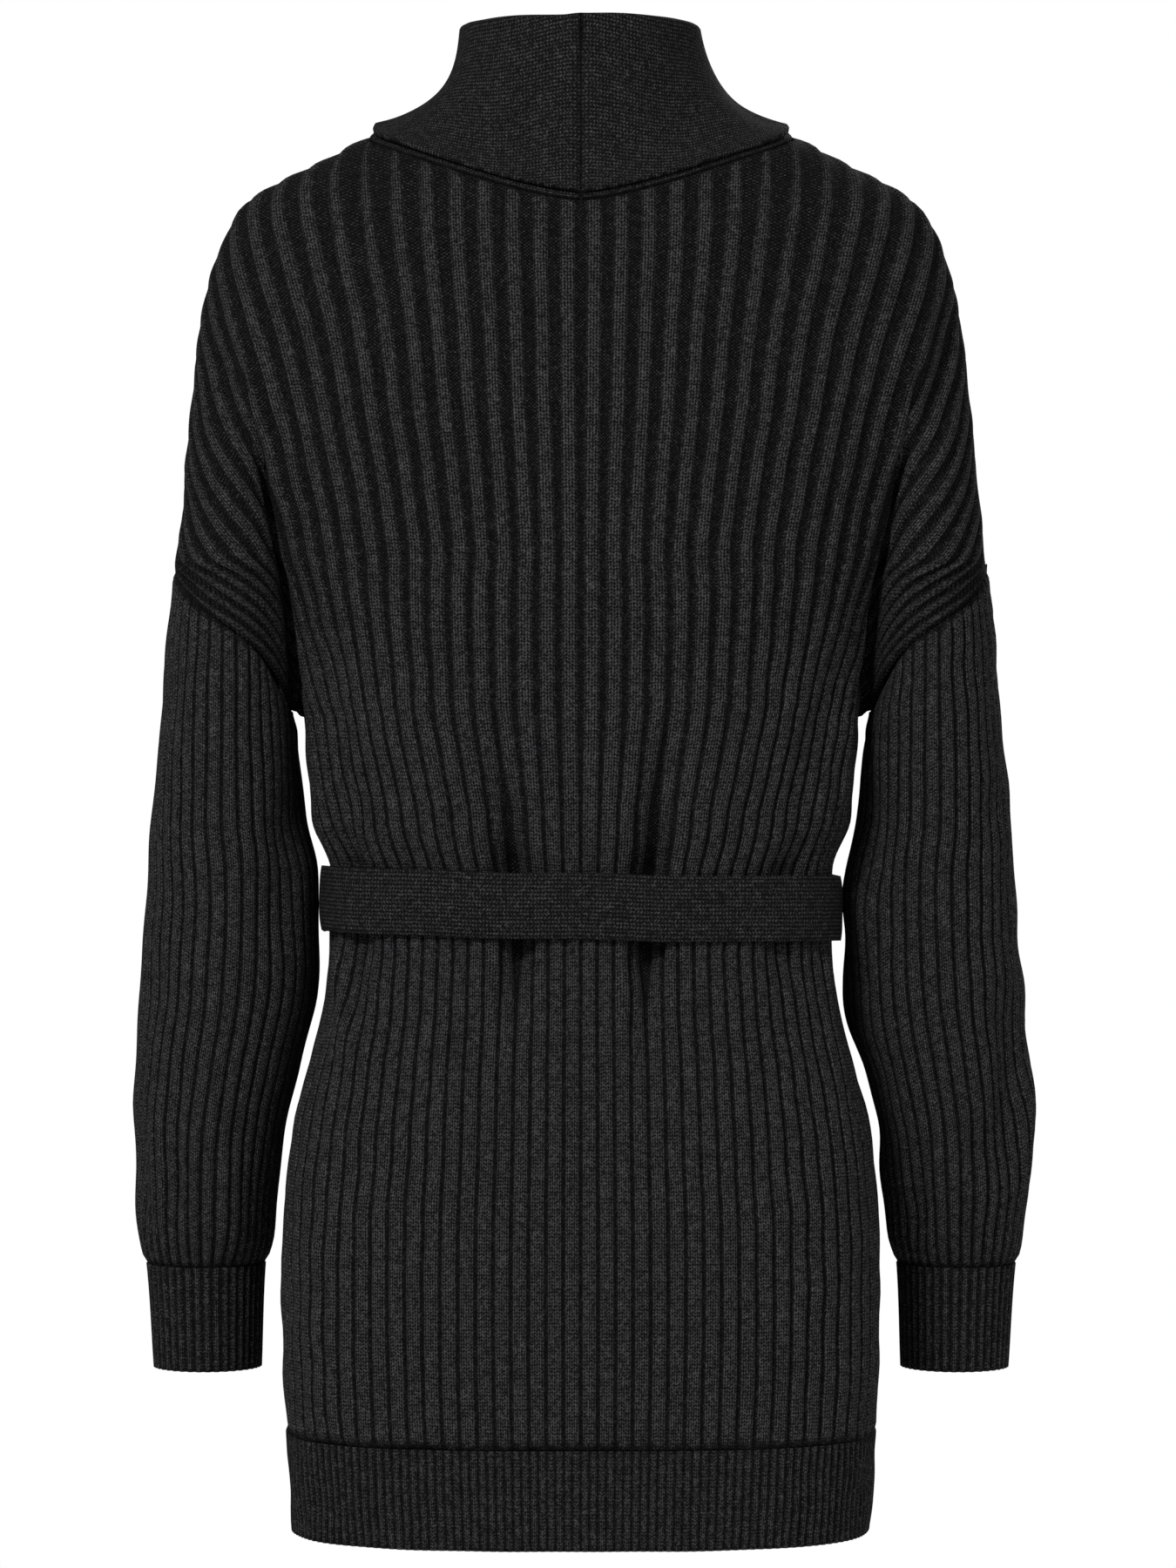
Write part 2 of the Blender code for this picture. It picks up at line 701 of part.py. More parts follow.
def collar(name, side, back, front, front_hem):
    """Half a shawl collar: it stands at the neck, folds over and runs on as the front band."""
    ribs, seam, seam_normal = collar_seam(side, back, front, front_hem)
    stations = len(ribs)
    tangent = np.gradient(seam, axis=0)
    inward = unit(np.cross(seam_normal, tangent))
    flat = np.stack([-side * np.ones(stations), np.zeros(stations), np.zeros(stations)], -1)
    upward = np.array([0, 0, 1.0])
    toward = np.where((ribs < 0.1)[:, None], upward, flat)
    inward = inward * np.where((inward * toward).sum(-1, keepdims=True) < 0, -1, 1)
    corner = np.exp(-ribs**2) + (ribs > NECK_RIBS + LAP_RIBS - 0.6)
    start = seam + inward * (2.5 * SEAM_GAP + CORNER_GAP * corner)[:, None] - seam_normal * 0.0005

    below = ribs > NECK_RIBS + LAP_RIBS - 0.1
    fall = read(COLLAR, 4, ribs)
    turn = read(COLLAR, 5, ribs)
    fold = np.stack([read(COLLAR, k, ribs) for k in (1, 2, 3)], -1)
    fold[:, 0] *= side
    fold[below, 0] = seam[below, 0] - side * (BAND_WIDTH - fall[below])
    fold[below, 2] = seam[below, 2]
    chest = -depth_at(fold[:, 0], fold[:, 2], -1) - lap(0, fold[:, 2], side)
    onto_chest = eased((ribs - 2.0) / 1.5)
    fold[:, 1] = fold[:, 1] * (1 - onto_chest) + chest * onto_chest

    standing = 1 - eased((ribs - 1.0) / 2.0)
    low = start + (fold - start) * 0.5
    low[:, 1] = low[:, 1] * standing + (1 - standing) * (
        -depth_at(low[:, 0], low[:, 2], -1) - lap(0, low[:, 2], side))
    upright = np.stack([
        fold[:, 0] * 0.9 + start[:, 0] * 0.1,
        fold[:, 1] * 0.9 + start[:, 1] * 0.1,
        start[:, 2] + 0.17 * (fold[:, 2] - start[:, 2]),
    ], -1)
    control = low * (1 - standing)[:, None] + upright * standing[:, None]

    def stand_at(t):
        """Points from the fold (0) to the seam (1), and past it over the front panel."""
        t = np.asarray(t, float)[:, None]
        inside = np.clip(t, 0, 1)
        curve = fold * (1 - inside) ** 2 + 2 * control * inside * (1 - inside) + start * inside**2
        beyond = np.maximum(t - 1, 0) * np.linalg.norm(start - fold, axis=1)[:, None]
        out = curve - inward * beyond
        passed = (t[:, 0] > 1) & (ribs > 0)
        if passed.any():
            out_ribs = np.full(passed.sum(), NECK_RIBS)
            chest_y = -depth_at(out[passed, 0], out[passed, 2], -1) - lap(out_ribs, out[passed, 2], side)
            out[passed, 1] = chest_y - 0.0005
        return out

    steps = np.linspace(0, 1, 9)
    curve = np.array([stand_at(np.full(stations, t)) for t in steps])
    length = np.linalg.norm(np.diff(curve, axis=0), axis=2).sum(axis=0)
    reveal = np.interp(ribs, (-NECK_RIBS, 0), (REVEAL, SHOULDER_REVEAL))
    fall = np.where(ribs < 0.1, length - reveal + math.pi * FOLD_RADIUS, fall)
    rows_in = (0.0, 0.30, 0.62, 1.0)
    rows_out = (0.0, 0.5, 1.0)

    grid = np.array([stand_at(np.full(stations, t)) for t in rows_in])
    normal = grid_normals(grid, np.stack([grid[..., 0] * np.where(ribs > 1.5, 0, 1), grid[..., 1],
                                          np.full(grid.shape[:2], 0.01)], -1))
    normal[-1] = seam_normal
    at_fold = normal[0]
    along = unit(grid[0] - grid[1])
    bend = math.pi * turn

    def normal_at(share):
        place = np.interp(share, rows_in, range(len(rows_in)))
        row = np.minimum(place.astype(int), len(rows_in) - 2)
        f = (place - row)[:, None]
        station = np.arange(stations)
        return unit(normal[row, station] * (1 - f) + normal[row + 1, station] * f)

    def turned(distance):
        """Points past the fold at a distance measured over the cloth."""
        arc = np.minimum(distance / FOLD_RADIUS, math.pi)[:, None]
        share = np.maximum(distance - math.pi * FOLD_RADIUS, 0) / length
        here_normal = normal_at(share)
        over = stand_at(share) + here_normal * FOLD_RADIUS * (1 - np.cos(arc)) + along * FOLD_RADIUS * np.sin(arc)
        flat_out = fold + along * distance[:, None]
        mix = ((1 - np.cos(bend)) / 2)[:, None]
        lift = (np.sin(bend) * distance)[:, None]
        return over * mix + flat_out * (1 - mix) + here_normal * lift

    crown = turned(np.full(stations, FOLD_RADIUS * math.pi / 2))
    half_round = FOLD_RADIUS * math.pi
    falling = [turned(half_round + (fall - half_round) * share) for share in rows_out]
    middle = np.concatenate([grid[::-1], [crown], falling])
    middle = np.swapaxes(middle, 0, 1)
    down = np.gradient(middle, axis=1)
    across = np.gradient(middle, axis=0)
    sheet_normal = unit(np.cross(down, across))
    first = sheet_normal[:, 0]
    flip = np.where((first * seam_normal).sum(-1) < 0, -1, 1)[:, None, None]
    sheet_normal = sheet_normal * flip
    sheet_normal[:, 0] = unit(seam_normal)
    sheet_normal[0, :, 0] = 0
    sheet_normal[-1, :, 2] = 0
    sheet_normal = unit(sheet_normal)
    middle[0, :, 0] = side * SEAM_GAP / 2
    wall(name, middle + sheet_normal * COLLAR_CLOTH / 2, middle - sheet_normal * COLLAR_CLOTH / 2, FLAT_KNIT)


def belt_section(angle, z):
    """Point of the belt's inner face at an angle round the waist."""
    sine, cosine = np.sin(angle), np.cos(angle)
    half = torso_half(BELT_TOP_ROW) + RIB_RISE + BELT_EASE
    back = torso_depth(BELT_TOP_ROW, 1) + RIB_RISE + BELT_EASE + 0.001
    front = torso_depth(BELT_TOP_ROW, -1) + RIB_RISE + BELT_EASE + LAP_RISE
    depth = np.where(sine > 0, back, front)
    power = 2 / torso_power(BELT_TOP_ROW)
    x = half * np.sign(cosine) * np.abs(cosine) ** power
    y = depth * np.sign(sine) * np.abs(sine) ** power
    return np.stack([x, y, z + BELT_SLOPE * x], -1)


def belt(name):
    """A band round the waist."""
    fine = np.linspace(0, 2 * math.pi, 1441)
    path = belt_section(fine, np.zeros(len(fine)))
    along = np.concatenate([[0], np.cumsum(np.linalg.norm(np.diff(path, axis=0), axis=1))])
    angle = np.interp(np.arange(BELT_STEPS) / BELT_STEPS * along[-1], along, fine)
    heights = BELT + BELT_WIDTH * np.array([0.5, 0.0, -0.5])
    bulge = np.array([0.6, 1.0, 0.6])
    inner = np.array([belt_section(angle, np.full(BELT_STEPS, z)) for z in heights])
    normal = grid_normals(inner, inner * np.array([1, 1, 0]), closed=True)
    outer = inner + normal * BELT_CLOTH * bulge[:, None, None]
    wall(name, outer, inner, FLAT_KNIT, closed=True)
    return float(-outer[..., 1].min())


def rounded_block(name, centre, size, cloth):
    """A pillow of cloth with rounded edges."""
    bm = bmesh.new()
    bmesh.ops.create_cube(bm, size=1)
    bmesh.ops.subdivide_edges(bm, edges=bm.edges, cuts=3, use_grid_fill=True)
    for vertex in bm.verts:
        shape = np.array(vertex.co)
        length = (np.abs(shape * 2) ** 3.5).sum() ** (1 / 3.5)
        vertex.co = np.array(centre) + shape / length * np.array(size)
    link(name, bm, cloth)


def tail(name, side, front_face):
    """One end of the belt, hanging from the knot."""
    rows = 8
    t = np.linspace(0, 1, rows)
    z = BELT - KNOT_SIZE[2] / 2 + TAIL_TUCK - TAIL_LENGTH * t
    lean = side * (TAIL_CENTRE + 0.018 * t)
    edges = np.array([-0.5, -0.17, 0.17, 0.5]) * TAIL_WIDTH
    x = lean[:, None] + edges[None, :]
    height = np.repeat(z[:, None], len(edges), axis=1)
    cloth_front = depth_at(x, height, -1) + RIB_RISE + LAP_RISE + 0.004
    hung = np.maximum.accumulate(cloth_front, axis=0)
    y = np.maximum(hung, front_face + 0.001)
    y[:] = y.max(axis=1, keepdims=True)
    inner = np.stack([x, -y, height], -1)
    outer = inner + np.array([0, -1.0, 0]) * BELT_CLOTH * np.array([0.6, 1.0, 1.0, 0.6])[None, :, None]
    wall(name, outer, inner, FLAT_KNIT)


def cardigan():
    back = body_panel("back_panel", 1, 1, -SIDE_RIBS, SIDE_RIBS)
    hem("hem_back", 1, 1, -SIDE_RIBS, SIDE_RIBS)
    for side, word in ((1, "left"), (-1, "right")):
        front = body_panel("front_" + word, -1, side, -LAP_RIBS, SIDE_RIBS)
        front_hem = hem("hem_front_" + word, -1, side, -LAP_RIBS, SIDE_RIBS)
        sleeve("sleeve_" + word, side, back, front)
        cuff("cuff_" + word, side)
        collar("collar_" + word, side, back, front, front_hem)
    front_face = belt("belt")
    centre = (0, -front_face - SEAM_GAP - KNOT_SIZE[1] / 2, BELT)
    rounded_block("belt_knot", centre, KNOT_SIZE, FLAT_KNIT)
    for side, word in ((1, "left"), (-1, "right")):
        tail("belt_end_" + word, side, front_face)


cardigan()
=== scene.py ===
# %% [markdown]
# # A ribbed wrap cardigan, seen from the back
#
# The cardigan is knitted in a black wool blend.  It has wide ribs on the body and the sleeves, fine
# ribs at the hem and the cuffs, and a flat knit turned sideways for the shawl collar and the belt.
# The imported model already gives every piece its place.  This script makes each piece again as a thin
# shell of cloth on the same form, with the ribs, gathers and creases at their real size.

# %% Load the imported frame
import math

import bmesh
import bpy
import mathutils
import numpy as np
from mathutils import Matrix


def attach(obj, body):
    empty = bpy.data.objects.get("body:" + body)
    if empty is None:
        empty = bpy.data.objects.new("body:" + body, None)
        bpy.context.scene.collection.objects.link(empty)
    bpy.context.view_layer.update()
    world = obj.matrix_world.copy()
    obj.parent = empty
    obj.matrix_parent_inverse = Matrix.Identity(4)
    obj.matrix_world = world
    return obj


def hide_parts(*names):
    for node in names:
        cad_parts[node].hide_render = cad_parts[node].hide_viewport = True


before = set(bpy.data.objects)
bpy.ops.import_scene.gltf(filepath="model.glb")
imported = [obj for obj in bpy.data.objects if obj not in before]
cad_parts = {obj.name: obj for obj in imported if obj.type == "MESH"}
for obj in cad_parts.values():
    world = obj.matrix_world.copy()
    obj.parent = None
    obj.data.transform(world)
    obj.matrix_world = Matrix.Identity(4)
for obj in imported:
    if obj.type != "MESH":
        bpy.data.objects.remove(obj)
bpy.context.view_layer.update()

# %% [markdown]
# ## Camera
#
# The photograph is a straight view of the back at the height of the waist.  Its hem hangs a little
# lower in the picture at the middle, which is nearer, than at the sides.  A bow of that size comes
# from about three metres away, so the camera stands there with a long lens.

# %% Camera
CAMERA_DISTANCE = 3.0
FRAME_HEIGHT = 0.900
FRAME_CENTRE = (-0.004, -0.361)
SENSOR = 36.0


def add_object(name, data):
    """A new object of the scene that shows this camera, lamp or mesh."""
    made = bpy.data.objects.new(name, data)
    bpy.context.scene.collection.objects.link(made)
    return made


camera_data = bpy.data.cameras.new("camera")
camera_data.sensor_width = SENSOR
camera_data.lens = SENSOR * CAMERA_DISTANCE / FRAME_HEIGHT
camera = add_object("camera", camera_data)
camera.location = (FRAME_CENTRE[0], CAMERA_DISTANCE, FRAME_CENTRE[1])
camera.rotation_euler = (math.radians(90), 0, math.radians(180))
bpy.context.scene.camera = camera
print("lens", round(camera_data.lens), "mm")

# %% [markdown]
# ## Colours and nodes
#
# A colour on a screen is an sRGB value, and a shader wants a linear one, so one function turns a hex
# value into the other.  Another small function adds any node with its settings and its links.

# %% Helpers for materials


def linear(hex_colour):
    """An sRGB hex value as a linear colour with full alpha."""
    parts = [int(hex_colour[k:k + 2], 16) / 255 for k in (1, 3, 5)]
    return [p / 12.92 if p <= 0.04045 else ((p + 0.055) / 1.055) ** 2.4 for p in parts] + [1.0]


def node(tree, kind, inputs=None, **settings):
    """Add a node; a value that is a node or a socket is linked, and any other is set."""
    made = tree.nodes.new(kind)
    for key, value in settings.items():
        setattr(made, key, value)
    for key, value in (inputs or {}).items():
        if isinstance(value, bpy.types.Node):
            value = value.outputs[0]
        if isinstance(value, bpy.types.NodeSocket):
            tree.links.new(value, made.inputs[key])
        else:
            made.inputs[key].default_value = value
    return made


# %% [markdown]
# ## Studio
#
# The product photograph has a white ground and wide, soft light from in front of the cloth, a little
# stronger from above and from one side, so that each rib has a soft light and a soft dark flank.
# Large area lights give this.  The floor is a pale disc well below the hem.

# %% Floor and light
FLOOR_HEIGHT = -1.30
FLOOR_RADIUS = 2.2
AMBIENT = 0.33
# Name, place, size across, watts
LIGHTS = (
    ("key_light", (1.3, 2.4, 1.3), 0.8, 52),
    ("fill_light", (-1.6, 2.5, 0.4), 1.4, 12),
    ("front_light", (-0.8, -2.6, 0.9), 1.6, 42),
)


def mesh_from(bm, name):
    """Turn a finished bmesh into a mesh."""
    mesh = bpy.data.meshes.new(name)
    bm.to_mesh(mesh)
    bm.free()
    return mesh


def studio_floor():
    bm = bmesh.new()
    bmesh.ops.create_circle(bm, cap_ends=True, segments=96, radius=FLOOR_RADIUS)
    bmesh.ops.translate(bm, vec=(0, 0, FLOOR_HEIGHT), verts=bm.verts)
    mesh = mesh_from(bm, "studio_floor")
    floor = add_object("studio_floor", mesh)
    paint = bpy.data.materials.new("matt_white_paint")
    paint.use_nodes = True
    shader = paint.node_tree.nodes["Principled BSDF"]
    shader.inputs["Base Color"].default_value = linear("#f2f2f2")
    shader.inputs["Roughness"].default_value = 0.8
    mesh.materials.append(paint)


def soft_light(name, place, size, power):
    """An area light that faces the middle of the garment."""
    data = bpy.data.lights.new(name, "AREA")
    data.shape = "DISK"
    data.size = size
    data.energy = power
    lamp = add_object(name, data)
    lamp.location = place
    towards = np.array([0, 0, FRAME_CENTRE[1]]) - np.array(place)
    lamp.rotation_euler = tuple(mathutils.Vector(towards).to_track_quat("-Z", "Y").to_euler())


studio_floor()
for light in LIGHTS:
    soft_light(*light)

sky = bpy.data.worlds.new("white_studio")
bpy.context.scene.world = sky
sky.use_nodes = True
sky.node_tree.nodes["Background"].inputs["Color"].default_value = linear("#ffffff")
seen = node(sky.node_tree, "ShaderNodeLightPath").outputs["Is Camera Ray"]
strength = node(sky.node_tree, "ShaderNodeMapRange", {0: seen, 3: AMBIENT, 4: 1.0})
sky.node_tree.links.new(strength.outputs[0], sky.node_tree.nodes["Background"].inputs["Strength"])
bpy.context.scene.view_settings.view_transform = "Standard"

# %% [markdown]
# ## Sizes of the garment
#
# Every piece is drawn from a few tables: how wide and deep the body, the sleeves and the shoulders
# are at each height.  The numbers between two rows of a table come from one smooth curve.  The
# garment faces -Y, its left sleeve is at +X, and a rib is counted from the centre line outwards.

# %% Sizes, in metres
CLOTH = 0.0024
SEAM_GAP = 0.0003
SEWN_EDGE = 2.5 * SEAM_GAP
RIB_RISE = 0.0014

SIDE_RIBS = 24
NECK_RIBS = 8.5
LAP_RIBS = 2.0

NECK_POINT = 0.011
CENTRE_BACK_NECK = -0.035
ARMHOLE_TOP = -0.235
LAP_TOP = -0.360
BELT_TOP_ROW = -0.411
LOWER_ROWS = (-0.447, -0.495, -0.580, -0.729)
HEM_TOP = LOWER_ROWS[-1]
HEM_END = -0.785
CUFF_TOP = -0.637
CUFF_END = -0.6975
SLEEVE_START = -0.372
UPPER_SPANS = 9
UNDERARM_SPAN = 5
ROW_POWER = 1.25
UNDERARM = ARMHOLE_TOP + (BELT_TOP_ROW - ARMHOLE_TOP) * (UNDERARM_SPAN / UPPER_SPANS) ** ROW_POWER

# Height, half width over the shoulders and sleeves
OUTLINE = (
    (0.030, 0.090),
    (0.011, 0.119),
    (-0.005, 0.149),
    (-0.015, 0.169),
    (-0.025, 0.1865),
    (-0.035, 0.197),
    (-0.055, 0.208),
    (-0.090, 0.2175),
    (-0.165, 0.226),
    (-0.265, 0.235),
    (-0.415, 0.248),
    (-0.515, 0.255),
    (-0.565, 0.257),
    (-0.600, 0.256),
    (-0.625, 0.2535),
    (-0.637, 0.2515),
    (-0.6975, 0.2475),
)

# Height, half width, depth behind the middle, depth in front of it
TORSO = (
    (0.030, 0.120, 0.048, 0.044),
    (0.011, 0.140, 0.062, 0.058),
    (-0.035, 0.185, 0.083, 0.080),
    (-0.070, 0.192, 0.094, 0.095),
    (-0.110, 0.189, 0.100, 0.105),
    (-0.150, 0.182, 0.104, 0.112),
    (-0.190, 0.175, 0.105, 0.117),
    (-0.230, 0.169, 0.105, 0.120),
    (-0.280, 0.162, 0.104, 0.120),
    (-0.340, 0.158, 0.102, 0.116),
    (-0.380, 0.155, 0.099, 0.111),
    (-0.411, 0.144, 0.089, 0.100),
    (-0.447, 0.144, 0.090, 0.100),
    (-0.482, 0.1465, 0.099, 0.102),
    (-0.522, 0.157, 0.109, 0.106),
    (-0.565, 0.1668, 0.117, 0.110),
    (-0.605, 0.1705, 0.121, 0.112),
    (-0.655, 0.1715, 0.121, 0.113),
    (-0.729, 0.1688, 0.118, 0.112),
    (-0.785, 0.1650, 0.115, 0.110),
)
SHOULDER_POWER = 2.3
PARTED_FROM = -0.10

# Height, roundness of the torso's section, width of the fold between torso and arm
FOLD_SHAPE = (
    (-0.100, 2.3, 0.050),
    (-0.235, 2.2, 0.050),
    (-0.280, 2.2, 0.044),
    (-0.305, 2.3, 0.030),
    (UNDERARM, 2.5, 0.001),
    (-0.400, 2.9, 0.001),
    (-0.480, 3.0, 0.001),
)

# Height, inner side of the sleeve, half depth, place of its middle in depth
SLEEVE = (
    (-0.100, 0.190, 0.056, 0.000),
    (-0.235, 0.171, 0.060, 0.000),
    (-0.340, 0.1625, 0.062, -0.002),
    (-0.380, 0.1600, 0.060, -0.004),
    (-0.411, 0.1530, 0.058, -0.005),
    (-0.440, 0.1510, 0.057, -0.006),
    (-0.482, 0.1530, 0.056, -0.010),
    (-0.522, 0.1630, 0.055, -0.013),
    (-0.565, 0.1730, 0.054, -0.017),
    (-0.600, 0.1765, 0.051, -0.020),
    (-0.620, 0.1785, 0.045, -0.021),
    (-0.637, 0.1820, 0.038, -0.022),
    (-0.6975, 0.1845, 0.036, -0.025),
)

# Height, how far the armhole seam has moved round from the outline to the fold behind the arm
ARMHOLE = (
    (-0.235, 0.00),
    (-0.245, 0.22),
    (-0.260, 0.42),
    (-0.280, 0.62),
    (-0.302, 0.82),
    (UNDERARM, 1.00),
)

# Height, how much the ribs are spread towards the sides
SPREAD = (
    (-0.785, -0.019),
    (-0.580, -0.019),
    (-0.500, 0.010),
    (-0.447, 0.037),
    (-0.430, 0.043),
    (-0.411, 0.060),
    (-0.400, 0.064),
    (-0.380, 0.0575),
    (-0.360, 0.074),
    (-0.340, 0.096),
    (-0.330, 0.108),
    (-0.3205, 0.1155),
    (-0.3185, 0.1034),
    (-0.311, 0.0832),
    (-0.302, 0.0647),
    (-0.280, 0.0333),
    (-0.270, 0.0208),
    (-0.260, 0.0089),
    (-0.255, 0.0025),
    (-0.250, -0.0042),
    (-0.245, -0.0131),
    (-0.240, -0.0253),
    (-0.2365, -0.0346),
    (-0.2345, -0.0359),
    (-0.230, -0.0358),
    (-0.220, -0.0311),
    (-0.200, -0.0220),
    (-0.150, -0.006),
    (-0.100, -0.023),
    (-0.030, -0.045),
)

# Gathers at the belt: face, rib towards the left, top, foot, depth, ribs to each side
BELT = -0.429
GATHERS = (
    (1, 4, -0.330, -0.530, 0.011, 1.8),
    (1, -4, -0.320, -0.540, 0.012, 1.8),
    (1, 15, -0.360, -0.520, 0.008, 2.4),
    (1, -13, -0.350, -0.500, 0.006, 2.2),
    (-1, 16, -0.340, -0.520, 0.007, 2.4),
    (-1, -16, -0.330, -0.530, 0.007, 2.4),
)

# The right front laps over the left
LAP_RISE = 0.0068
LAP_RIB_START = 15
LAP_RIB_FULL = 10
LAP_START = -0.060
LAP_FULL = -0.140

# %% Curves through the tables


def eased(x):
    """0 below 0, 1 above 1 and a smooth step between."""
    x = np.clip(x, 0.0, 1.0)
    return x * x * (3 - 2 * x)


def unit(vectors):
    return vectors / np.maximum(np.linalg.norm(vectors, axis=-1, keepdims=True), 1e-12)


def facing(vectors, outward):
    """The vectors, turned round where they point against the outward ones."""
    return vectors * np.where((vectors * outward).sum(-1, keepdims=True) < 0, -1, 1)


def distance_along(x, y):
    """Distance of each point of a line from its first."""
    return np.concatenate([[0], np.cumsum(np.hypot(np.diff(x), np.diff(y)))])


def read(table, column, at):
    """A column of a table at any place of its first column, as a smooth curve with no overshoot."""
    rows = np.array(sorted(table))
    x, y = rows[:, 0], rows[:, column]
    step = np.diff(x)
    slope = np.diff(y) / step
    tangent = np.zeros(len(x))
    before = 2 * step[1:] + step[:-1]
    after = step[1:] + 2 * step[:-1]
    with np.errstate(divide="ignore", invalid="ignore"):
        mean = (before + after) / (before / slope[:-1] + after / slope[1:])
    tangent[1:-1] = np.where(slope[:-1] * slope[1:] > 0, mean, 0.0)
    tangent[0], tangent[-1] = slope[0], slope[-1]
    at = np.clip(np.asarray(at, float), x[0], x[-1])
    i = np.clip(np.searchsorted(x, at) - 1, 0, len(x) - 2)
    t = (at - x[i]) / step[i]
    bend = (tangent[i] + tangent[i + 1] - 2 * slope[i]) * t
    return y[i] + step[i] * t * (tangent[i] + t * (3 * slope[i] - 2 * tangent[i] - tangent[i + 1] + bend))


def outline(z):
    return read(OUTLINE, 1, z) - RIB_RISE


def torso_half(z):
    return read(TORSO, 1, z) - RIB_RISE


def torso_depth(z, face):
    return read(TORSO, 2 if face > 0 else 3, z) - RIB_RISE


def arm(z):
    """Middle, half width, half depth and place in depth of the sleeve at a height."""
    outer = outline(z)
    inner = read(SLEEVE, 1, z) + RIB_RISE
    return (outer + inner) / 2, (outer - inner) / 2, read(SLEEVE, 2, z) - RIB_RISE, read(SLEEVE, 3, z)


# %% [markdown]
# ## The form of the body
#
# A level cut through the body is an oval.  Over the shoulders it is one oval from arm to arm.  Below
# them it parts into the torso's oval and the arm's, and the cloth dips in a soft fold between them.
# Half of such a cut is stored for many heights, evenly spaced along the cloth, and a point of the
# cloth is looked up by its rib and its height.

# %% Level sections
SECTION_POINTS = 161
LEVEL_COUNT = 240
# Round the torso's edge the section is read more finely, and the fold by the arm is looked for
NEAR_SIDE = 0.020
FOLD_SEARCH = 0.012


def oval(x, half, depth, power):
    return depth * (1 - np.clip(x / half, 0, 1) ** power) ** (1 / power)


def soft_maximum(a, b, width):
    """The larger of two curves, rounded where they cross, and 0 where both are."""
    share = np.clip(0.5 + 0.5 * (a - b) / width, 0, 1)
    rounding = width * share * (1 - share) * eased(np.maximum(a, b) / (0.5 * width))
    return a * share + b * (1 - share) + rounding


def half_section(z, face):
    """Half of the level section from the centre line to the armhole or side seam, evenly spaced."""
    half, depth = torso_half(z), torso_depth(z, face)
    power = read(FOLD_SHAPE, 1, z)
    if z > UNDERARM:
        width = outline(z)
        middle, arm_half, arm_depth, _ = arm(z)
        x = width * np.sin(np.linspace(0, math.pi / 2, 400))
        near_side = np.linspace(half - NEAR_SIDE, min(half + NEAR_SIDE, width), 200)
        x = np.unique(np.concatenate([x, near_side]))
        joined = oval(x, width, depth, SHOULDER_POWER)
        torso = oval(x, half, depth, power)
        upper_arm = oval(np.abs(x - middle), arm_half, arm_depth, 2)
        share = eased((PARTED_FROM - z) / (PARTED_FROM - UNDERARM))
        y = joined * (1 - share) + soft_maximum(torso, upper_arm, read(FOLD_SHAPE, 2, z)) * share
    else:
        angle = np.linspace(0, math.pi / 2, 600)
        x = half * np.sin(angle) ** (2 / power)
        y = depth * np.cos(angle) ** (2 / power)
    along = distance_along(x, y)
    end = along[-1]
    if UNDERARM < z < ARMHOLE_TOP:
        fold = np.argmin(np.where(np.abs(x - half) < FOLD_SEARCH, y, 1.0))
        end -= read(ARMHOLE, 1, z) * (along[-1] - along[fold])
    even = np.linspace(0, end, SECTION_POINTS)
    return np.interp(even, along, x), np.interp(even, along, y)


LEVELS = np.linspace(OUTLINE[0][0], HEM_END, LEVEL_COUNT)
SECTIONS = {face: np.array([half_section(z, face) for z in LEVELS]) for face in (1, -1)}
print("stored", LEVEL_COUNT, "level sections for the back and for the front")

# %% Points of the cloth by rib and height


def level_place(z):
    """Row of the section table for a height, and how far it lies towards the next row."""
    place = (LEVELS[0] - z) / (LEVELS[0] - LEVELS[-1]) * (LEVEL_COUNT - 1)
    place = np.clip(place, 0, LEVEL_COUNT - 1.001)
    row = place.astype(int)
    return row, place - row


def section_point(q, z, face):
    """x and depth at share q of the half section at height z."""
    row, down = level_place(z)
    place = np.clip(q, 0, 1) * (SECTION_POINTS - 1.001)
    i = place.astype(int)
    f = place - i
    table = SECTIONS[face]
    found = []
    for k in (0, 1):
        here = table[row, k, i] * (1 - f) + table[row, k, i + 1] * f
        below = table[row + 1, k, i] * (1 - f) + table[row + 1, k, i + 1] * f
        found.append(here * (1 - down) + below * down)
    return found


def depth_at(x, z, face):
    """Depth of the cloth at a place seen from the front or the back."""
    x, z = np.broadcast_arrays(np.abs(np.asarray(x, float)), np.asarray(z, float))
    row, down = level_place(z)
    found = np.zeros(x.shape)
    for index in np.ndindex(x.shape):
        pair = []
        for level in (row[index], row[index] + 1):
            line = SECTIONS[face][level]
            pair.append(np.interp(x[index], line[0], line[1]))
        found[index] = pair[0] * (1 - down[index]) + pair[1] * down[index]
    return found


def shoulder_run():
    """Heights down the top of the shoulder and the share of the way from neck to armhole."""
    z = np.linspace(NECK_POINT, ARMHOLE_TOP, 200)
    run = distance_along(outline(z), z)
    return z, run / run[-1]


SHOULDER_Z, SHOULDER_SHARE = shoulder_run()
NECK_U = NECK_RIBS / SIDE_RIBS
LAP_U = -LAP_RIBS / SIDE_RIBS


def gather_depth(rib, z, face):
    """How far the gathers at the belt draw the cloth in, for a rib counted towards the left sleeve."""
    depth = np.zeros(np.broadcast(rib, z).shape)
    for on_face, centre, top, foot, deep, wide in GATHERS:
        if on_face == face:
            across = np.clip(np.abs(rib - centre) / wide, 0, 1)
            rise = np.where(z > BELT, (top - z) / (top - BELT), (z - foot) / (BELT - foot))
            depth = depth + deep * (0.5 + 0.5 * np.cos(math.pi * across)) * eased(rise)
    return depth


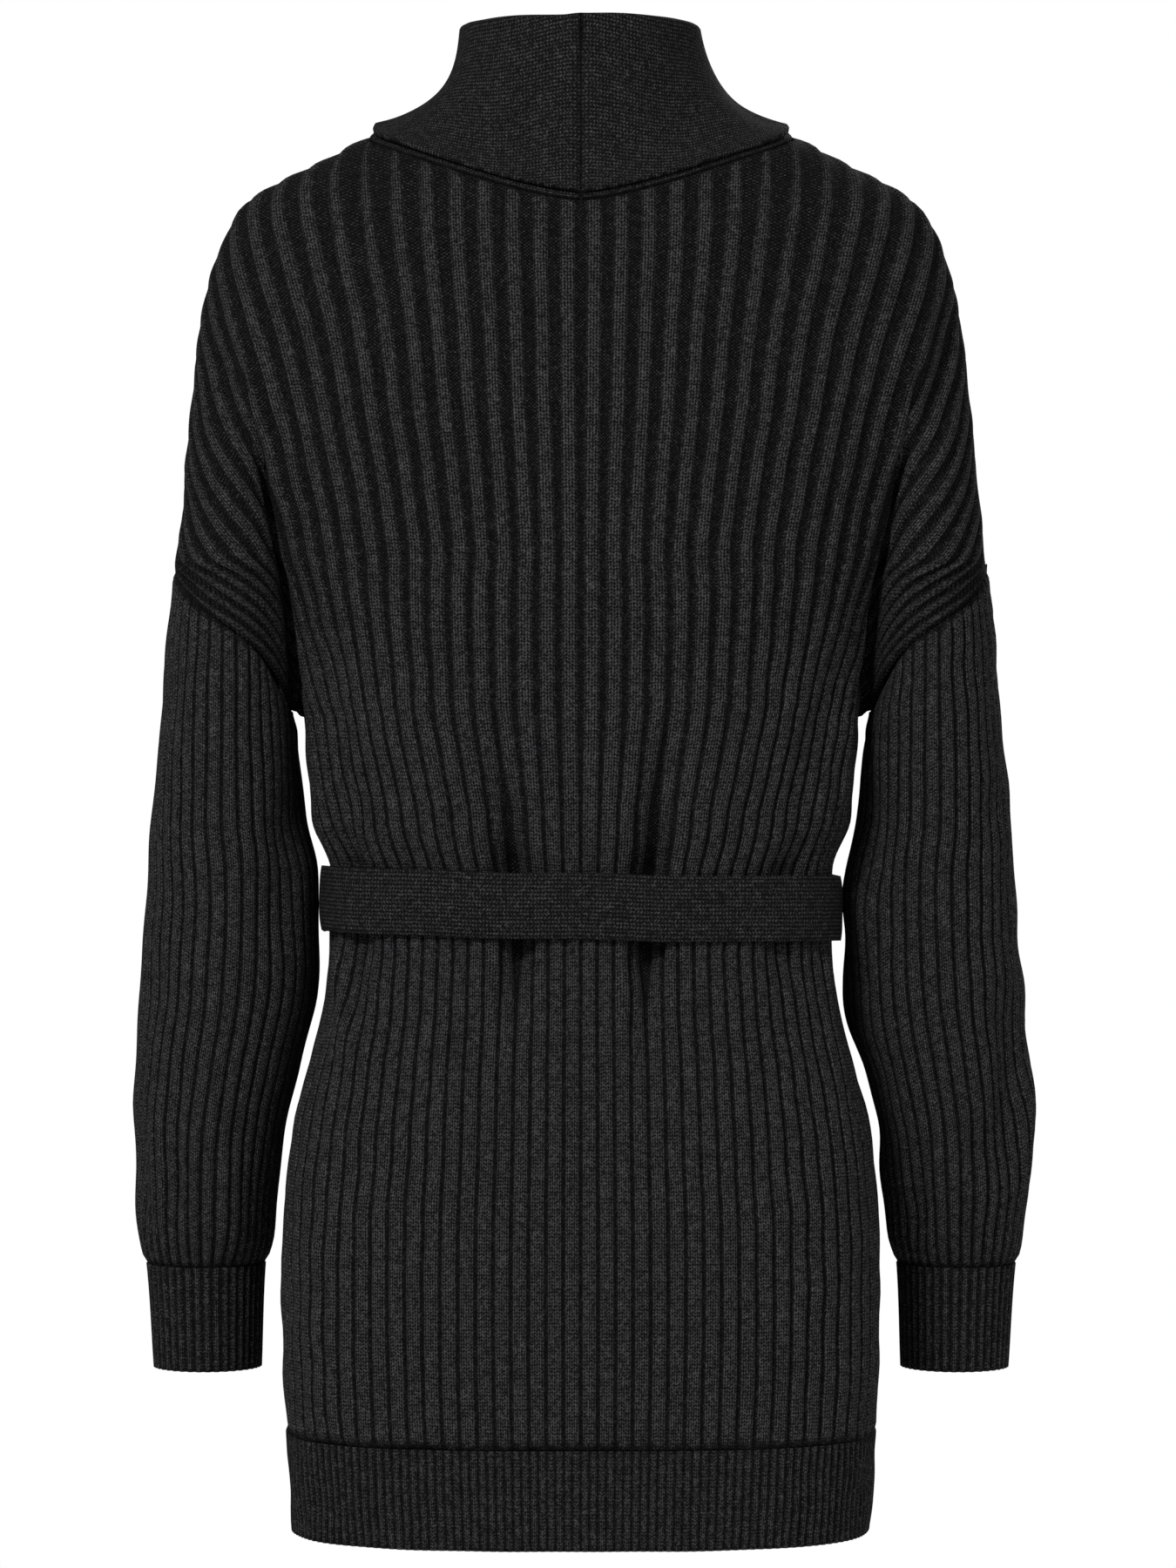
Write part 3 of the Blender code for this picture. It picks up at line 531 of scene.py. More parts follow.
def surface(rib, z, face):
    """Base points of the cloth for a rib counted towards the left sleeve, on the back (1) or front (-1)."""
    rib, z = np.broadcast_arrays(np.asarray(rib, float), np.asarray(z, float))
    u = np.abs(rib) / SIDE_RIBS
    shoulder_u = NECK_U + (1 - NECK_U) * np.interp(-z, -SHOULDER_Z, SHOULDER_SHARE)
    q = np.clip(u / shoulder_u, 0, 1)
    q = q + read(SPREAD, 1, z) * np.sin(math.pi * q)
    x, y = section_point(q, z, face)
    ahead, behind = section_point(q + 0.01, z, face), section_point(q - 0.01, z, face)
    tangent = unit(np.stack([ahead[0] - behind[0], ahead[1] - behind[1]], -1))
    sink = gather_depth(rib, z, face)
    x = x + sink * tangent[..., 1]
    y = y - sink * tangent[..., 0]
    return np.stack([x * np.where(rib < 0, -1, 1), y * face, z], -1)


def surface_normals(rib, z, face):
    """Unit normals of the surface, from its slope along a level section and down."""
    rib, z = np.broadcast_arrays(rib, z)
    small = 0.05
    across = surface(rib + small, z, face) - surface(rib - small, z, face)
    down = surface(rib, z - 0.002, face) - surface(rib, z, face)
    return unit(np.cross(across, down)) * face


def top_height(rib, face):
    """Height at which a rib starts: at the neckline, the front edge or the shoulder seam."""
    u = np.asarray(rib, float) / SIDE_RIBS
    u = np.abs(u) if face > 0 else u
    seam = np.interp((u - NECK_U) / (1 - NECK_U), SHOULDER_SHARE, SHOULDER_Z)
    if face > 0:
        neck = CENTRE_BACK_NECK + (NECK_POINT - CENTRE_BACK_NECK) * np.clip(u / NECK_U, 0, 1) ** 1.5
    else:
        share = np.clip((NECK_U - u) / (NECK_U - LAP_U), 0, 1)
        neck = NECK_POINT + (LAP_TOP - NECK_POINT) * share
    return np.where(u >= NECK_U, seam, neck)


def lap(out_ribs, z, side):
    """How far the right front stands out where it laps over the left."""
    if side > 0:
        return np.zeros(np.broadcast(out_ribs, z).shape)
    across = eased((LAP_RIB_START - out_ribs) / (LAP_RIB_START - LAP_RIB_FULL))
    return LAP_RISE * across * eased((LAP_START - z) / (LAP_START - LAP_FULL))


# %% [markdown]
# ## Ribs
#
# A rib knit pulls itself together: knit columns stand out as round ribs and the purl columns between
# them sink into furrows.  Where the cloth is stretched, as over the shoulder blades, the furrows
# open; at the belt they close to thin dark lines.  So the ribs keep one real width, and the furrows
# take what is left of the pitch.  The stitches themselves are too small for a mesh, and follow from
# two coordinates of the cloth: u counts columns of stitches and v is the distance along them.

# %% Shape of a rib
WIDE_RIB = {"rise": 0.0024, "half": 0.0052, "flank": 0.0022, "knit": 3, "all": 5}
FINE_RIB = {"rise": 0.0012, "half": 0.0021, "flank": 0.0011, "knit": 2, "all": 3}
RIB_COLUMNS = (0.0, 0.09, 0.18, 0.29, 0.5, 0.71, 0.82, 0.91)
FINE_COLUMNS = (0.0, 0.17, 0.33, 0.5, 0.67, 0.83)
# The most of the pitch that a rib may take, the part of it that the knit columns fill, and its crown
RIB_LIMIT = 1.02
KNIT_LIMIT = 0.82
RIB_CROWN = 0.15


def rib_columns(first, last, phases):
    """Places of the mesh columns, counted in ribs, closer together on the flanks."""
    whole = np.arange(math.floor(first), math.ceil(last))
    places = (whole[:, None] + np.array(phases)[None, :]).ravel()
    inside = places[(places > first + 0.02) & (places < last - 0.02)]
    return np.concatenate([[first], inside, [last]])


def rib_shape(ribs, points, kind):
    """Relief (0 in the furrow, 1 on the rib) and the count of stitch columns, from the real pitch."""
    along = np.linalg.norm(np.diff(points, axis=1), axis=2)
    pitch = along / np.diff(ribs)[None, :]
    pitch = np.concatenate([pitch[:, :1], (pitch[:, 1:] + pitch[:, :-1]) / 2, pitch[:, -1:]], axis=1)
    for _ in range(6):
        pitch[:, 1:-1] = (pitch[:, :-2] + pitch[:, 1:-1] + pitch[:, 2:]) / 3
    signed = (ribs - np.floor(ribs) - 0.5)[None, :] * pitch
    out = np.abs(signed)
    half = np.minimum(kind["half"], pitch / 2 * RIB_LIMIT)
    relief = 1 - eased((out - half + kind["flank"]) / kind["flank"])
    relief = relief * (1 - RIB_CROWN * (out / half) ** 2)
    knit, furrow = kind["knit"] / 2, (kind["all"] - kind["knit"]) / 2
    edge = np.minimum(half, pitch / 2 * KNIT_LIMIT)
    wales = np.minimum(out / edge, 1) * knit + np.maximum(out - edge, 0) / (pitch / 2 - edge) * furrow
    stitches = (np.floor(ribs) + 0.5)[None, :] * kind["all"] + np.sign(signed) * wales
    return np.clip(relief, 0, 1), stitches


def distance_down(points):
    """Distance from the first row, measured down each column."""
    step = np.linalg.norm(np.diff(points, axis=0), axis=2)
    return np.concatenate([np.zeros((1, points.shape[1])), np.cumsum(step, axis=0)])


# %% Uneven lie of the cloth
SEED = 11
WAVES = 9
# Depth and size of the uneven places of each kind of piece
LIE = {
    "body": (0.0007, 0.045),
    "sleeve": (0.0010, 0.050),
    "collar": (0.0006, 0.050),
    "belt_run": (0.0007, 0.090),
    "belt": (0.0004, 0.030),
    "belt_end": (0.0011, 0.060),
}
# Share of a crease's length over which it fades out at each end
CREASE_END = 0.35


def uneven(a, b, part, kind):
    """How far the cloth lies in or out, as a smooth sum of waves in many directions."""
    depth, size = LIE[part]
    picked = np.random.default_rng(SEED + kind)
    total = np.zeros(np.broadcast(a, b).shape)
    for _ in range(WAVES):
        angle = picked.uniform(0, 2 * math.pi)
        length = size * picked.uniform(0.7, 1.7)
        start = picked.uniform(0, 2 * math.pi)
        along = a * math.cos(angle) + b * math.sin(angle)
        total = total + np.sin(along * 2 * math.pi / length + start)
    return depth * (total / math.sqrt(WAVES))


def fold(a, b, start, end, depth, wide):
    """Depth of one crease along a line from start to end, soft at both ends."""
    ax, ay = start
    dx, dy = end[0] - ax, end[1] - ay
    length = math.hypot(dx, dy)
    along = ((a - ax) * dx + (b - ay) * dy) / length**2
    across = ((a - ax) * dy - (b - ay) * dx) / length
    ends = eased(along / CREASE_END) * eased((1 - along) / CREASE_END)
    return depth * np.exp(-((across / wide) ** 2)) * ends


def creased(sink, creases, where, a, b, scale):
    """Add the creases of one face or side; the first number of their places is scaled to metres."""
    for on, start, end, depth, wide in creases:
        if on == where:
            ends = [(place[0] * scale, place[1]) for place in (start, end)]
            sink = sink + fold(a, b, *ends, depth, wide)
    return sink


# %% One layer of cloth and its wall
UV = "knit"


def vectors_of(items, what):
    """One vector for each vertex or polygon of a mesh."""
    values = np.zeros(len(items) * 3)
    items.foreach_get(what, values)
    return values.reshape(-1, 3)


def write_stitches(mesh, stitches, along, relief):
    """Store the count of stitch columns and the distance along them as UV, and the relief beside it."""
    corner = np.zeros(len(mesh.loops), int)
    mesh.loops.foreach_get("vertex_index", corner)
    uv = np.stack([stitches, along], -1)[corner]
    mesh.uv_layers[UV].data.foreach_set("uv", uv.ravel())
    height = mesh.attributes.new("relief", "FLOAT", "POINT")
    height.data.foreach_set("value", relief.astype(np.float32))


def cloth_layer(name, points, stitches, along, relief, outward, closed=False):
    """A flat grid whose vertices are moved to the cloth's points, with its stitch count as UV."""
    rows, columns = points.shape[:2]
    bm = bmesh.new()
    bm.loops.layers.uv.new(UV)
    bmesh.ops.create_grid(bm, x_segments=columns - 1, y_segments=rows - 1, size=0.5, calc_uvs=True)
    mesh = mesh_from(bm, name)
    flat = vectors_of(mesh.vertices, "co")
    column = np.rint((flat[:, 0] + 0.5) * (columns - 1)).astype(int)
    row = np.rint((0.5 - flat[:, 1]) * (rows - 1)).astype(int)
    mesh.vertices.foreach_set("co", points[row, column].ravel())
    write_stitches(mesh, stitches[row, column], along[row, column], relief[row, column])
    mesh.update()
    away = (vectors_of(mesh.polygons, "normal") * outward(vectors_of(mesh.polygons, "center"))).sum()
    bm = bmesh.new()
    bm.from_mesh(mesh)
    if closed:
        bmesh.ops.remove_doubles(bm, verts=bm.verts, dist=1e-6)
    if away < 0:
        bmesh.ops.reverse_faces(bm, faces=bm.faces)
    bm.to_mesh(mesh)
    bm.free()
    mesh.shade_smooth()
    return mesh


def ring_normals(points, outward):
    """Unit normals of a grid whose last column repeats its first."""
    closing = points[:, 1:2] - points[:, -2:-1]
    across = np.concatenate([closing, points[:, 2:] - points[:, :-2], closing], axis=1)
    return facing(unit(np.cross(across, np.gradient(points, axis=0))), outward)


def close_ring(*grids):
    """Let the last column of a grid round an arm or the waist repeat its first."""
    for grid in grids:
        grid[:, -1] = grid[:, 0]


def finish_piece(name, mesh, cloth, replaced, thickness=CLOTH, inwards=-1.0):
    """Give the layer its material, its wall if it has one, and its place in the frame."""
    piece = add_object(name, mesh)
    mesh.materials.append(cloth)
    if thickness:
        wall = piece.modifiers.new("wall", "SOLIDIFY")
        wall.thickness = thickness
        wall.offset = inwards
    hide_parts(replaced)
    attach(piece, "root")
    return piece


# %% [markdown]
# ## The wool knit
#
# The yarn is a wool blend: matt, nearly black, with a faint grey fuzz.  Each knit stitch is a small V
# of two legs, and the purl side in the furrows shows rows of little arcs instead.  An image would
# give them at one fixed place only, so they are drawn from the stitch count of the cloth.  The
# height of the stitches sets their bump, and it also paints light on the legs and shade in the gaps
# between them.  The relief of the ribs paints light on their crests and shade in the furrows.

# %% Knit materials
# Rows of stitches, drawn coarser than the real ones so that they show in the render
COURSE = 0.0019
# Sizes of the grey flecks and of the fuzzy patches
FLECK = 0.0012
FUZZ = 0.0045
# How far the legs of a V lean, and the height left in the gaps between rows and between legs
LEG_SLANT = 1.3
ROW_GAP = 0.45
LEG_GAP = 0.25
# Shares in the ramp of the painted light on the legs of the stitches, the grey flecks, the painted light on
# the ribs' crests and the fuzzy patches (the gaps and the furrows get painted shade)
PAINTED_STITCH_LIGHT = 0.40
FLECK_SHARE = 0.34
PAINTED_CREST_LIGHT = 0.17
PATCH_SHARE = 0.10
# Places of the three shades on the ramp, and depth of the stitches
SHADE_PLACES = (0.12, 0.55, 0.98)
STITCH_DEPTH = 0.0010


def stitch_height(tree, u, v):
    """Heights of knit stitches and of purl arcs, from counts of columns (u) and rows (v)."""
    part = node(tree, "ShaderNodeMath", {0: u}, operation="FRACT")
    centred = node(tree, "ShaderNodeMath", {0: part, 1: 0.5}, operation="SUBTRACT")
    away = node(tree, "ShaderNodeMath", {0: centred}, operation="ABSOLUTE")
    slant = node(tree, "ShaderNodeMath", {0: away, 1: LEG_SLANT, 2: v}, operation="MULTIPLY_ADD")
    turn = node(tree, "ShaderNodeMath", {0: slant, 1: 2 * math.pi}, operation="MULTIPLY")
    wave = node(tree, "ShaderNodeMath", {0: turn}, operation="SINE")
    wave = node(tree, "ShaderNodeMath", {0: wave, 1: 0.5, 2: 0.5}, operation="MULTIPLY_ADD")
    leg = node(tree, "ShaderNodeMath", {0: away, 1: 2 * math.pi}, operation="MULTIPLY")
    leg = node(tree, "ShaderNodeMath", {0: leg}, operation="SINE")
    leg = node(tree, "ShaderNodeMath", {0: leg, 1: 1 - LEG_GAP, 2: LEG_GAP}, operation="MULTIPLY_ADD")
    wave = node(tree, "ShaderNodeMath", {0: wave, 1: 1 - ROW_GAP, 2: ROW_GAP}, operation="MULTIPLY_ADD")
    knit = node(tree, "ShaderNodeMath", {0: wave, 1: leg}, operation="MULTIPLY")
    across = node(tree, "ShaderNodeMath", {0: u, 1: 2 * math.pi}, operation="MULTIPLY")
    across = node(tree, "ShaderNodeMath", {0: across}, operation="COSINE")
    up = node(tree, "ShaderNodeMath", {0: v, 1: 2 * math.pi}, operation="MULTIPLY")
    up = node(tree, "ShaderNodeMath", {0: up}, operation="SINE")
    arcs = node(tree, "ShaderNodeMath", {0: across, 1: up}, operation="MULTIPLY")
    purl = node(tree, "ShaderNodeMath", {0: arcs, 1: 0.5, 2: 0.5}, operation="MULTIPLY_ADD")
    return knit, purl


def wool_knit(name, shades, fuzz, darker):
    """A matt wool knit with its stitches, its flecks and its fuzz."""
    cloth = bpy.data.materials.new(name)
    cloth.use_nodes = True
    tree = cloth.node_tree
    shader = tree.nodes["Principled BSDF"]
    uv = node(tree, "ShaderNodeUVMap", uv_map=UV)
    parts = node(tree, "ShaderNodeSeparateXYZ", {0: uv})
    rows = node(tree, "ShaderNodeMath", {0: parts.outputs[1], 1: 1 / COURSE}, operation="MULTIPLY")
    knit, purl = stitch_height(tree, parts.outputs[0], rows)
    relief = node(tree, "ShaderNodeAttribute", attribute_name="relief").outputs["Fac"]
    on_rib = node(tree, "ShaderNodeMapRange", {0: relief, 1: 0.15, 2: 0.75})
    stitch = node(tree, "ShaderNodeMix", {0: on_rib, 2: purl, 3: knit}, data_type="FLOAT")
    place = node(tree, "ShaderNodeTexCoord").outputs["Object"]
    fleck = node(tree, "ShaderNodeTexNoise", {"Vector": place, "Scale": 1 / FLECK, "Detail": 3.0,
                                              "Roughness": 0.65})
    patch = node(tree, "ShaderNodeTexNoise", {"Vector": place, "Scale": 1 / FUZZ, "Detail": 2.0})
    fleck = node(tree, "ShaderNodeMapRange", {0: fleck, 1: 0.34, 2: 0.66})
    patch = node(tree, "ShaderNodeMapRange", {0: patch, 1: 0.3, 2: 0.7})
    # Painted light on the raised legs of the stitches and the purl arcs, and painted shade in the gaps
    # between them
    light = node(tree, "ShaderNodeMath", {0: stitch, 1: PAINTED_STITCH_LIGHT, 2: -darker}, operation="MULTIPLY_ADD")
    light = node(tree, "ShaderNodeMath", {0: fleck, 1: FLECK_SHARE, 2: light}, operation="MULTIPLY_ADD")
    # Painted light on the ribs' crests and painted shade in the furrows, from the relief of the ribs
    light = node(tree, "ShaderNodeMath", {0: on_rib, 1: PAINTED_CREST_LIGHT, 2: light}, operation="MULTIPLY_ADD")
    light = node(tree, "ShaderNodeMath", {0: patch, 1: PATCH_SHARE, 2: light}, operation="MULTIPLY_ADD")
    ramp = node(tree, "ShaderNodeValToRGB", {0: light})
    ramp.color_ramp.elements[0].position = SHADE_PLACES[0]
    ramp.color_ramp.elements[0].color = linear(shades[0])
    ramp.color_ramp.elements[1].position = SHADE_PLACES[2]
    ramp.color_ramp.elements[1].color = linear(shades[2])
    middle = ramp.color_ramp.elements.new(SHADE_PLACES[1])
    middle.color = linear(shades[1])
    tree.links.new(ramp.outputs[0], shader.inputs["Base Color"])
    height = node(tree, "ShaderNodeMath", {0: fleck, 1: 0.5, 2: stitch}, operation="MULTIPLY_ADD")
    bump = node(tree, "ShaderNodeBump", {"Height": height, "Distance": STITCH_DEPTH, "Strength": 0.9})
    tree.links.new(bump.outputs[0], shader.inputs["Normal"])
    shader.inputs["Roughness"].default_value = 0.95
    shader.inputs["Specular IOR Level"].default_value = 0.05
    shader.inputs["Sheen Weight"].default_value = fuzz
    shader.inputs["Sheen Roughness"].default_value = 0.45
    shader.inputs["Sheen Tint"].default_value = linear("#9a9a9c")
    return cloth


# Ribs of black wool: painted shade makes the furrows nearly black between lighter, grey-flecked crests, so
# the cloth looks thick and soft
RIB_KNIT = wool_knit("wool_blend_rib_knit", ("#020202", "#1b1b1c", "#666668"), 0.02, 0.0)
# Flat knit of the same wool: an even, fine grain sets the collar and the belt off from the ribs
FLAT_KNIT = wool_knit("wool_blend_flat_knit", ("#030303", "#1c1c1d", "#646466"), 0.02, 0.08)

# %% [markdown]
# ## Back panel, fronts and hem
#
# The back is one panel with 48 ribs, cut at the neck and along the dropped shoulders.  Each front
# has 26 ribs, two of them past the centre line, and the right one laps over the left.  Their lower
# ends carry bands of fine rib.  A panel starts as a flat grid, which is moved onto the body's form.
# The belt draws deep gathers, and soft creases run from the armpits and above the belt.

# %% Body panels
UPPER_ROWS = 72
LOWER_ROW_COUNT = 48
METRES_PER_RIB = 0.0095
# How much of a rib's height is left at a seam, and how soon it is full again
SEAM_RELIEF = 0.25
ARMHOLE_RELIEF = 0.15
SEAM_FADE = 0.005
CUFF_FADE = 0.006

# Face, from rib and height, to rib and height, depth (a ridge is less than 0), width
BODY_CREASES = (
    (1, (12.6, -0.060), (15.0, -0.270), -0.0040, 0.008),
    (1, (-12.6, -0.040), (-15.0, -0.270), -0.0040, 0.008),
    (1, (13.9, -0.080), (16.2, -0.260), 0.0040, 0.008),
    (1, (-13.9, -0.060), (-16.2, -0.260), 0.0040, 0.008),
    (1, (14.8, -0.240), (17.5, -0.400), -0.0030, 0.009),
    (1, (-14.8, -0.240), (-17.5, -0.400), -0.0030, 0.009),
    (1, (3.8, -0.300), (3.8, -0.530), 0.0050, 0.008),
    (1, (-4.3, -0.290), (-4.3, -0.540), 0.0055, 0.008),
    (1, (13.0, -0.260), (13.5, -0.405), 0.0030, 0.012),
    (1, (-13.5, -0.270), (-12.0, -0.405), 0.0028, 0.012),
    (1, (8.5, -0.300), (7.5, -0.425), -0.0028, 0.012),
    (1, (-8.0, -0.290), (-7.5, -0.425), -0.0025, 0.012),
    (1, (19.0, -0.440), (14.5, -0.520), -0.0035, 0.009),
    (1, (-18.5, -0.440), (-16.0, -0.540), -0.0028, 0.010),
    (1, (0.5, -0.440), (-0.5, -0.600), 0.0022, 0.016),
    (-1, (18.0, -0.130), (13.0, -0.330), 0.0035, 0.014),
    (-1, (-18.0, -0.120), (-12.5, -0.320), 0.0040, 0.014),
    (-1, (11.0, -0.300), (9.0, -0.425), 0.0030, 0.013),
    (-1, (-9.0, -0.290), (-8.0, -0.425), 0.0034, 0.013),
    (-1, (14.0, -0.440), (11.0, -0.560), 0.0030, 0.012),
    (-1, (-12.0, -0.440), (-10.0, -0.580), 0.0032, 0.012),
)


def panel_heights(ribs, face):
    """Heights of the rows down each rib, from its top to the top of the hem."""
    top = top_height(ribs, face)
    steps = (np.linspace(0, 1, UPPER_ROWS + 1) ** ROW_POWER)[:, None]
    upper = top + (BELT_TOP_ROW - top) * steps
    lower = np.linspace(BELT_TOP_ROW, HEM_TOP, LOWER_ROW_COUNT + 1)[1:, None]
    return np.vstack([upper, np.repeat(lower, len(ribs), axis=1)])


def hem_heights(ribs):
    rows = np.linspace(HEM_TOP - SEAM_GAP, HEM_END, 15)[:, None]
    return np.repeat(rows, len(ribs), axis=1)


def body_base(face, side, ribs, z):
    """Points and normals of the cloth under the ribs, with its creases."""
    points = surface(ribs * side, z, face)
    points[..., 1] += face * (lap(ribs, z, side if face < 0 else 1) + SEAM_GAP / 2)
    normal = surface_normals(ribs * side, z, face)
    rib = np.broadcast_to(ribs * side, z.shape)
    across = rib * METRES_PER_RIB
    sink = uneven(across, z, "body", face)
    sink = creased(sink, BODY_CREASES, face, across, z, METRES_PER_RIB)
    near_seam = eased((SIDE_RIBS - np.abs(rib)) / 2) * eased(distance_down(points) / 0.02)
    return points - normal * (sink * near_seam)[..., None], normal


def outwards(centres):
    return centres * np.array([1, 1, 0])


def body_panel(name, face, side, first, last):
    ribs = rib_columns(first, last, RIB_COLUMNS)
    z = panel_heights(ribs, face)
    points, normal = body_base(face, side, ribs, z)
    relief, stitches = rib_shape(ribs, points, WIDE_RIB)
    down = distance_down(points)
    relief = relief * eased(SEAM_RELIEF + down / SEAM_FADE) * eased(SEAM_RELIEF + (z - HEM_TOP) / SEAM_FADE)
    # The ribs lie flatter where the cloth turns round the side
    stretched = eased(np.abs(normal[..., 1]) / 0.6 + 0.25)
    outer = points + normal * (WIDE_RIB["rise"] * relief * stretched)[..., None]
    mesh = cloth_layer(name + "_knit", outer, stitches, -z, relief, outwards)
    piece = finish_piece(name + "_knit", mesh, RIB_KNIT, name)


def hem(name, face, side, first, last):
    fine = rib_columns(first * 2, last * 2, FINE_COLUMNS)
    z = hem_heights(fine)
    points, normal = body_base(face, side, fine / 2, z)
    relief, stitches = rib_shape(fine, points, FINE_RIB)
    outer = points + normal * (FINE_RIB["rise"] * relief)[..., None]
    # The side seams are closed, or light would show through both of them from the side
    outer[:, -1, 1] = 0
    if face > 0:
        outer[:, 0, 1] = 0
    mesh = cloth_layer(name + "_knit", outer, stitches, -z, relief, outwards)
    piece = finish_piece(name + "_knit", mesh, RIB_KNIT, name)


body_panel("back_panel", 1, 1, -SIDE_RIBS, SIDE_RIBS)
hem("hem_back", 1, 1, -SIDE_RIBS, SIDE_RIBS)
for side, word in ((1, "left"), (-1, "right")):
    body_panel("front_" + word, -1, side, -LAP_RIBS, SIDE_RIBS)
    hem("hem_front_" + word, -1, side, -LAP_RIBS, SIDE_RIBS)

# %% [markdown]
# ## Sleeves and cuffs
#
# A sleeve is a tube.  Its first row follows the armhole, a slanted loop that is sewn to the back and
# the front, and after a hand's width it is a level ring like every other row.  The wide sleeve falls
# in long soft creases and puffs out above the narrow cuff, which has fine ribs.

# %% Sleeves
SLEEVE_RIBS = 36
CUFF_RIBS = 40
UNDERARM_GAP = 0.0040
SLEEVE_JOIN_ROWS = 22
SLEEVE_RING_ROWS = 56
ARM_RADIUS = 0.045
NESTLE = 0.0018
TUCK_DEPTH = 0.0034
TUCK_REACH = 0.0045
TUCK_LENGTH = TUCK_DEPTH + TUCK_REACH
NESTLE_END = -0.600
FLATTENED = 0.8

# Side, from angle round the arm and height, to angle and height, depth, width
# The angle is 0 at the outer side, a quarter turn at the back and half a turn by the body
SLEEVE_CREASES = (
    (-1, (0.10, -0.500), (0.62, -0.610), -0.0060, 0.010),
    (-1, (0.55, -0.470), (1.05, -0.600), 0.0050, 0.012),
    (-1, (1.30, -0.540), (1.60, -0.632), 0.0035, 0.009),
    (-1, (2.10, -0.560), (2.30, -0.632), 0.0035, 0.009),
    (-1, (2.60, -0.360), (2.00, -0.470), 0.0040, 0.014),
    (-1, (4.20, -0.420), (4.90, -0.560), 0.0045, 0.013),
    (-1, (5.30, -0.480), (5.70, -0.610), 0.0040, 0.011),
    (1, (0.20, -0.540), (0.75, -0.632), 0.0040, 0.010),
    (1, (1.25, -0.510), (1.10, -0.632), 0.0040, 0.010),
    (1, (1.90, -0.560), (2.05, -0.632), -0.0030, 0.009),
    (1, (2.60, -0.360), (2.05, -0.480), 0.0040, 0.014),
    (1, (0.90, -0.400), (0.70, -0.520), 0.0020, 0.014),
    (1, (4.30, -0.430), (4.90, -0.570), 0.0045, 0.013),
    (1, (5.40, -0.500), (5.60, -0.620), 0.0040, 0.011),
)


def ring(z, side, places):
    """Points round the sleeve at a height, at shares of the way round from its outer side by the back."""
    _, half, depth, _ = arm(z)
    angle = np.linspace(0, 2 * math.pi, 721)
    along = distance_along(half * np.cos(angle), depth * np.sin(angle))
    even = np.interp(places * along[-1], along, angle)
    return even, on_arm(even, np.full(len(places), float(z)), side)


def on_arm(angle, z, side):
    middle, half, depth, centre = arm(z)
    return np.stack([(middle + half * np.cos(angle)) * side, centre + depth * np.sin(angle), z], -1)


def armhole(places, side):
    """The armhole at shares of the way round from its top by the back, and the seam allowance under it."""
    t = places * 2 * UNDERARM_SPAN
    on_back = t <= UNDERARM_SPAN
    down = np.where(on_back, t, 2 * UNDERARM_SPAN - t) / UPPER_SPANS
    z = ARMHOLE_TOP + (BELT_TOP_ROW - ARMHOLE_TOP) * np.maximum(down, 0) ** ROW_POWER
    rib = np.full(len(t), float(SIDE_RIBS * side))
    inner_rib = rib - 0.05 * side
    back, front = surface(rib, z, 1), surface(rib, z, -1)
    nodes = np.where(on_back[:, None], back, front)
    normals = np.where(on_back[:, None], surface_normals(inner_rib, z, 1), surface_normals(inner_rib, z, -1))
    tangent = np.roll(nodes, -1, axis=0) - np.roll(nodes, 1, axis=0)
    away = -unit(np.cross(normals, tangent)) * side
    nodes = nodes + away * SEWN_EDGE
    nodes[:, 0] += side * UNDERARM_GAP * np.interp(t, (3, 4, 5, 6, 7), (0, 0.8, 1, 0.8, 0))
    return nodes, nodes - normals * TUCK_DEPTH, nodes - normals * TUCK_DEPTH - away * TUCK_REACH


def sleeve_base(side, places):
    """Rows of points from the armhole to the cuff, and the angle round the arm of each."""
    loop, under, allowance = armhole(places, side)
    middle, half, depth, centre = arm(loop[:, 2])
    loop_angle = np.unwrap(np.arctan2((loop[:, 1] - centre) / depth, (loop[:, 0] * side - middle) / half))
    ring_angle, _ = ring(SLEEVE_START, side, places)
    loop_angle += 2 * math.pi * round((ring_angle - loop_angle).mean() / (2 * math.pi))
    offset = loop - on_arm(loop_angle, loop[:, 2], side)
    rows, angles = [allowance, under], [loop_angle, loop_angle]
    for t in np.linspace(0, 1, SLEEVE_JOIN_ROWS, endpoint=False):
        z = loop[:, 2] * (1 - t) + SLEEVE_START * t
        angle = loop_angle * (1 - t) + ring_angle * t
        rows.append(on_arm(angle, z, side) + offset * (1 - t) ** 3)
        angles.append(angle)
    for z in np.linspace(SLEEVE_START, CUFF_TOP, SLEEVE_RING_ROWS):
        angle, points = ring(z, side, places)
        rows.append(points)
        angles.append(angle)
    return np.array(rows), np.array(angles)


def away_from_arm(side):
    """A function that gives the way out from the middle of the arm at each point."""
    def outward(centres):
        middle, _, _, centre = arm(centres[..., 2])
        return centres - np.stack([middle * side, centre, centres[..., 2]], -1)
    return outward


